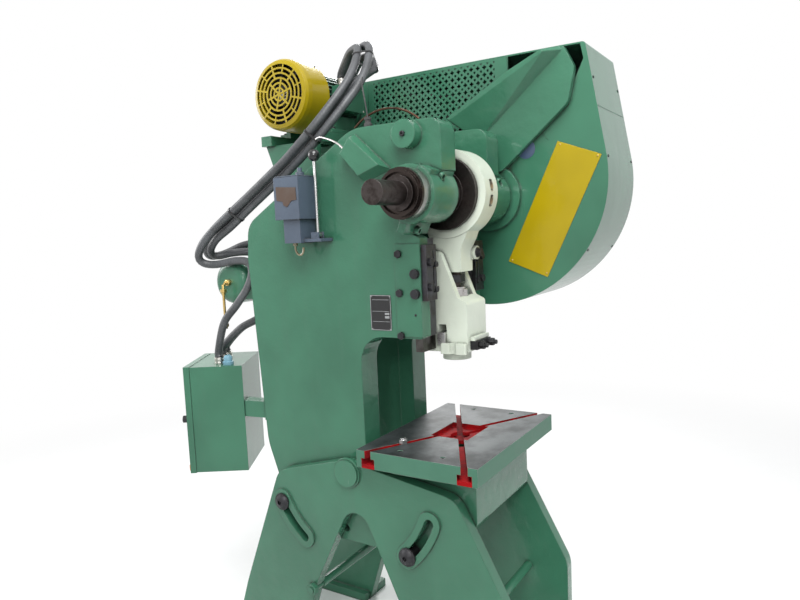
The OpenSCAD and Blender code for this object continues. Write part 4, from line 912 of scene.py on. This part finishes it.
fasteners("data_rivets", "rivet", 1.8,
          [(at(CHEEK_X - 1.4, back, up), LEFT) for back in (122.5, 189.5) for up in (361.5, 462.5)],
          plate_silver)
fasteners("pad_plugs", "rivet", 4, [(at(CHEEK_X - 3, 30, 408), LEFT)])
fasteners("slide_oil_hole", "rivet", 2.6, [(at(-68, 23, 482), LEFT)], body="slide")
for head in HEADS.values():
    bpy.data.objects.remove(head)
print("fasteners set")

# %% [markdown]
# ## Flat marks
#
# Thin plates and marks are outlines with a small thickness: the frame and empty boxes of the data plate,
# the bare plaque on the pump's tank, the seam where the guard's sheets meet and a round cover that peeps
# out behind the arm. The plates stay blank, as every plate in this library does.

# %% Thin plates from their outlines
def plate_on_x(x, outline, thick):
    """A plate whose face lies at x, facing left, with an outline of (back, up)."""
    return prism([at(x - thick, *spot) for spot in outline], [at(x, *spot) for spot in outline])


def strip(b0, u0, b1, u1, wide):
    """The outline of a straight strip between two places."""
    along = Vector((b1 - b0, u1 - u0)).normalized() * wide / 2
    return [(b0 - along.y, u0 + along.x), (b1 - along.y, u1 + along.x), (b1 + along.y, u1 - along.x),
            (b0 + along.y, u0 - along.x)]


DATA_X, SEAM_WIDE = CHEEK_X - 1.5, 2.4
DATA_FRAME = ((118.8, 357.8, 120.2, 466.2), (191.8, 357.8, 193.2, 466.2), (120.2, 357.8, 191.8, 359.2),
              (120.2, 464.8, 191.8, 466.2))
DATA_FIELDS = ((125, 452, 187, 453), (125, 416, 187, 417), (125, 384, 187, 385), (125, 395, 141, 402),
               (125, 406, 141, 412))
PLAQUE = [(475, 816), (394, 810), (393, 772), (413, 770), (432, 751), (446, 757), (450, 769), (474, 773)]
COVER = [(0, 0), (0.032, 0), (0.032, 0.0011), (0.031, 0.0014), (0, 0.0014)]
SEAMS = [strip(-220, 940, -186, 974.5, SEAM_WIDE), strip(-186, 974.5, -175, 952, SEAM_WIDE)]
rules = [plate_on_x(DATA_X, [(b0, u0), (b1, u0), (b1, u1), (b0, u1)], 0.4)
         for b0, u0, b1, u1 in DATA_FRAME + DATA_FIELDS]
finish_piece("data_plate_rules", rules, plate_silver)
finish_piece("pump_plaque", [plate_on_x(PUMP_X, PLAQUE, 1.6)], brown_plaque)
finish_piece("guard_cover", [set_at(turned(COVER, 36), at(GUARD_X, -140, 918), LEFT)], sealed_blue)
finish_piece("guard_seam", [plate_on_x(GUARD_X, seam, 1.0) for seam in SEAMS], green_enamel)

# %% [markdown]
# ## Welds, pipes and ties
#
# A weld bead crosses the guard's rim where two sheets meet. Two thin pipes and a wire show how the press
# gets its air and oil, and a bent strap comes down from the conduits to the rib of the cheek. Black ties
# hold the conduits together: a belt is drawn round all three, which is the convex outline of three
# circles.

# %% Weld bead, strap, pipes
BEAD_SIDES, BEAD_SWELL = 8, 0.22


def beaded(line, radius):
    """A weld bead: a pipe that swells and thins along its length."""
    bm = pipe(line, radius, BEAD_SIDES)
    for k, vert in enumerate(bm.verts):
        ring = k // BEAD_SIDES
        centre = line[min(ring, len(line) - 1)]
        vert.co = centre + (vert.co - centre) * (1 + BEAD_SWELL * math.sin(ring * 1.9))
    return bm


def bent_pipe(route, step, radius, sides):
    return pipe(smooth_line(route, step), radius, sides)


AIR_NUT = [(0, 0), (0.012, 0), (0.012, 0.011), (0.0075, 0.013), (0.0075, 0.019), (0, 0.019)]
SIGHT_NUT = [(0, 0), (0.008, 0), (0.008, 0.008), (0.005, 0.010), (0, 0.010)]
WIRE_SOCKET = [(0, 0), (0.013, 0), (0.013, 0.010), (0.009, 0.012), (0.009, 0.020), (0.011, 0.021),
               (0.011, 0.028), (0.004, 0.030), (0, 0.030)]
LID, LID_EDGE = (0.086, 0.096, 0.004), 0.0015

finish_piece("guard_weld", [beaded([at(296 + 4 * k, -381.6, 1033.3) for k in range(81)], 0.0022)],
             green_enamel)
strap = bent_pipe([(-204, 372, 962), (-208, 352, 966), (-220, 318, 957), (-231, 284, 945), (-236, 258, 931),
                   (-240, 240, 917)], 0.006, 0.0032, 10)
finish_piece("conduit_strap", [strap], collar_steel)
air_pipe = bent_pipe([(-160, 850, 500), (-176, 850, 500), (-188, 850, 492), (-190, 850, 478), (-190, 850, 345)],
                     0.006, 0.005, 12)
air_nuts = [set_at(turned(AIR_NUT, 6), at(*place), way) for place, way in (
    ((-160, 850, 500), LEFT), ((-190, 850, 478), DOWN), ((-190, 850, 352), DOWN))]
finish_piece("air_pipe", [air_pipe] + air_nuts, fitting_brass)
sight = bent_pipe([(-250, 442, 637), (-250, 442, 614), (-250, 432, 600), (-250, 418, 600), (-250, 410, 612),
                   (-250, 410, 622)], 0.004, 0.0035, 10)
finish_piece("pump_sight", [sight, set_at(turned(SIGHT_NUT, 6), at(-250, 442, 637), DOWN)], tank_glass)
wire = bent_pipe([(-186, 181, 1008), (-180, 190, 1045), (-140, 225, 1100), (-80, 270, 1150), (-20, 300, 1182)],
                 0.010, 0.0022, 8)
finish_piece("head_fitting", [set_at(turned(WIRE_SOCKET, 12), at(-186, 181, 980), UP), wire], belt_rubber)
finish_piece("pump_lid", [set_at(block(LID, LID_EDGE), at(-245, 435, 847))], pump_enamel)

# %% Ties round the conduits
TIE_AT = [(4, 0.4), (8, 0.6), (12, 0.5)]
TIE_SIDES, TIE_WIDE, TIE_GROW, TIE_CLEAR = 16, 0.007, 1.05, 0.0006


def tie(places, ahead, radius):
    """A belt round the circles at the given places, at right angles to the way ahead."""
    middle = sum(places, Vector()) / len(places)
    side = ahead.orthogonal().normalized()
    over = ahead.cross(side).normalized()
    spots = [((place - middle).dot(side) + radius * c, (place - middle).dot(over) + radius * s)
             for place in places for c, s in circle(TIE_SIDES)]
    outline = [spots[k] for k in convex_hull_2d(spots)]
    bm = bmesh.new()
    half = TIE_WIDE / 2
    rings = [[bm.verts.new(middle + side * x * grow + over * y * grow + ahead * along) for x, y in outline]
             for grow, along in ((1.0, -half), (TIE_GROW, -half), (TIE_GROW, half), (1.0, half))]
    for a, b in zip(rings, rings[1:] + rings[:1]):
        bridge(bm, a, b)
    return bm


ties = []
for k, share in TIE_AT:
    start, end = (at(*CONDUIT_ROUTES["b"][n]) for n in (k, k + 1))
    centre, ahead = start.lerp(end, share), (end - start).normalized()
    places = []
    for line in conduit_lines.values():
        near = min(line, key=lambda p: abs((p - centre).dot(ahead)) + 0.2 * (p - centre).length)
        places.append(near - (near - centre).dot(ahead) * ahead)
    ties.append(tie(places, ahead, CONDUIT_RADIUS + TIE_CLEAR))
finish_piece("conduit_ties", ties, black_knob)

# %% [markdown]
# ## Cabinet and slide
#
# A pale-blue gland stands on the cabinet's lid beside the three grey ones, and an orange mark shows at
# the foot of its door. The slide has a raised clamping lug at the bottom of its left side, with a
# half-round channel down its middle.

# %% Gland, mark and lug
BLUE_GLAND = [(0, 0), (0.020, 0), (0.020, 0.010), (0.016, 0.012), (0.016, 0.026), (0.012, 0.032),
              (0.006, 0.034), (0, 0.034)]
MARK, MARK_EDGE = (0.004, 0.014, 0.022), 0.001
LUG_X, RAM_X, LUG_UP = -81, -68, (270, 305)
LUG_MIDDLE, LUG_HALF, LUG_CORNER, CHANNEL_RADIUS = -26, 44, 3, 11

finish_piece("blue_gland", [set_at(turned(BLUE_GLAND, 12), at_cabinet(132, 40, CABINET_TOP), UP)], pale_blue)
finish_piece("orange_mark", [set_at(block(MARK, MARK_EDGE), at_cabinet(-24, 8, 18), UP, CABINET_TURN)],
             orange_mark, "cabinet_door")
half = [(RAM_X, LUG_HALF), (LUG_X + LUG_CORNER, LUG_HALF), (LUG_X, LUG_HALF - LUG_CORNER),
        (LUG_X, CHANNEL_RADIUS)]
channel = [(LUG_X + CHANNEL_RADIUS * s, CHANNEL_RADIUS * c) for c, s in circle(16)[1:8]]
outline = half + channel + [(x, -aside) for x, aside in reversed(half)]
lug = prism(*([at(x, LUG_MIDDLE + aside, up) for x, aside in outline] for up in LUG_UP))
finish_piece("slide_lug", [lug], cream_enamel, "slide")

# %% [markdown]
# ## Floor, light and background
#
# A pale floor that fades into a white room keeps the eye on the machine. The lamps are large and soft,
# as in a studio: one at the front left, one above, one behind at the right that lights the guard's rim
# as the window does, and one behind at the left. A fifth, small one makes the glints on the enamel. Only
# the camera, reflections and glass see the white background, so it doesn't light the paint.

# %% Floor
FLOOR_RADIUS = 9.0
FADE_FROM, FADE_TO = 1.6, 4.5


def sees_background(tree):
    """1 for rays from the camera, from a reflection or through glass."""
    rays = add(tree, "ShaderNodeLightPath").outputs
    seen = [Wire(tree, rays[f"Is {kind} Ray"]) for kind in ("Camera", "Transmission", "Glossy")]
    return seen[0] | seen[1] | seen[2]


def mixed(tree, share, first, second, output):
    """Mixes two shaders into a tree's output."""
    both = add(tree, "ShaderNodeMixShader", {0: share, 1: first.outputs[0], 2: second.outputs[0]})
    tree.links.new(both.outputs[0], tree.nodes[output].inputs[0])


def floor_finish():
    pale = Finish("pale_floor", roughness=0.85)
    fade = pale.vector("LENGTH", pale.place, output="Value").between(FADE_FROM, FADE_TO)
    pale.shade(base_color=pale.layers((0.80, 0.80, 0.79), (pale.noise(6, 5), (0.84, 0.84, 0.83))))
    white = add(pale.tree, "ShaderNodeEmission", {"Color": (1, 1, 1, 1), "Strength": 1.0})
    mixed(pale.tree, fade * sees_background(pale.tree), pale.shader, white, "Material Output")
    return pale.material


disc = bmesh.new()
bmesh.ops.create_circle(disc, cap_ends=True, segments=96, radius=FLOOR_RADIUS)
floor = in_scene("floor", mesh_of(disc, "floor"))
floor.data.materials.append(floor_finish())
print("floor of", FLOOR_RADIUS, "m radius")

# %% Lamps and room
LAMPS = {  # place, target, size and power
    "front_left": ((-3.6, -2.6, 3.6), (0, 0, 1.3), 2.2, 50),
    "above": ((-1.5, -1.2, 4.3), (0, 0, 1.6), 2.6, 150),
    "glint": ((-3.4, -1.6, 2.5), (0, 0, 1.4), 0.40, 20),
    "window": ((3.2, 1.6, 3.2), (0.3, 0, 1.4), 2.0, 120),
    "behind": ((-1.5, 3.8, 2.6), (0, 0, 1.0), 2.4, 70),
}
AMBIENT, AMBIENT_COLOUR = 0.42, (0.93, 0.96, 1.0, 1.0)

for name, (place, target, size, power) in LAMPS.items():
    light = bpy.data.lights.new(name, "AREA")
    light.shape, light.size, light.energy = "DISK", size, power
    lamp = in_scene(name, light)
    lamp.location = place
    lamp.rotation_euler = (Vector(target) - Vector(place)).to_track_quat("-Z", "Y").to_euler()

room = bpy.data.worlds.new("room")
bpy.context.scene.world = room
room.use_nodes = True
dim = room.node_tree.nodes["Background"]
dim.inputs["Color"].default_value, dim.inputs["Strength"].default_value = AMBIENT_COLOUR, AMBIENT
bright = add(room.node_tree, "ShaderNodeBackground", {"Color": (1, 1, 1, 1), "Strength": 1.0})
mixed(room.node_tree, sees_background(room.node_tree), dim, bright, "World Output")
bpy.context.scene.view_settings.view_transform = "Standard"
print(len(LAMPS), "lamps and the room are ready")
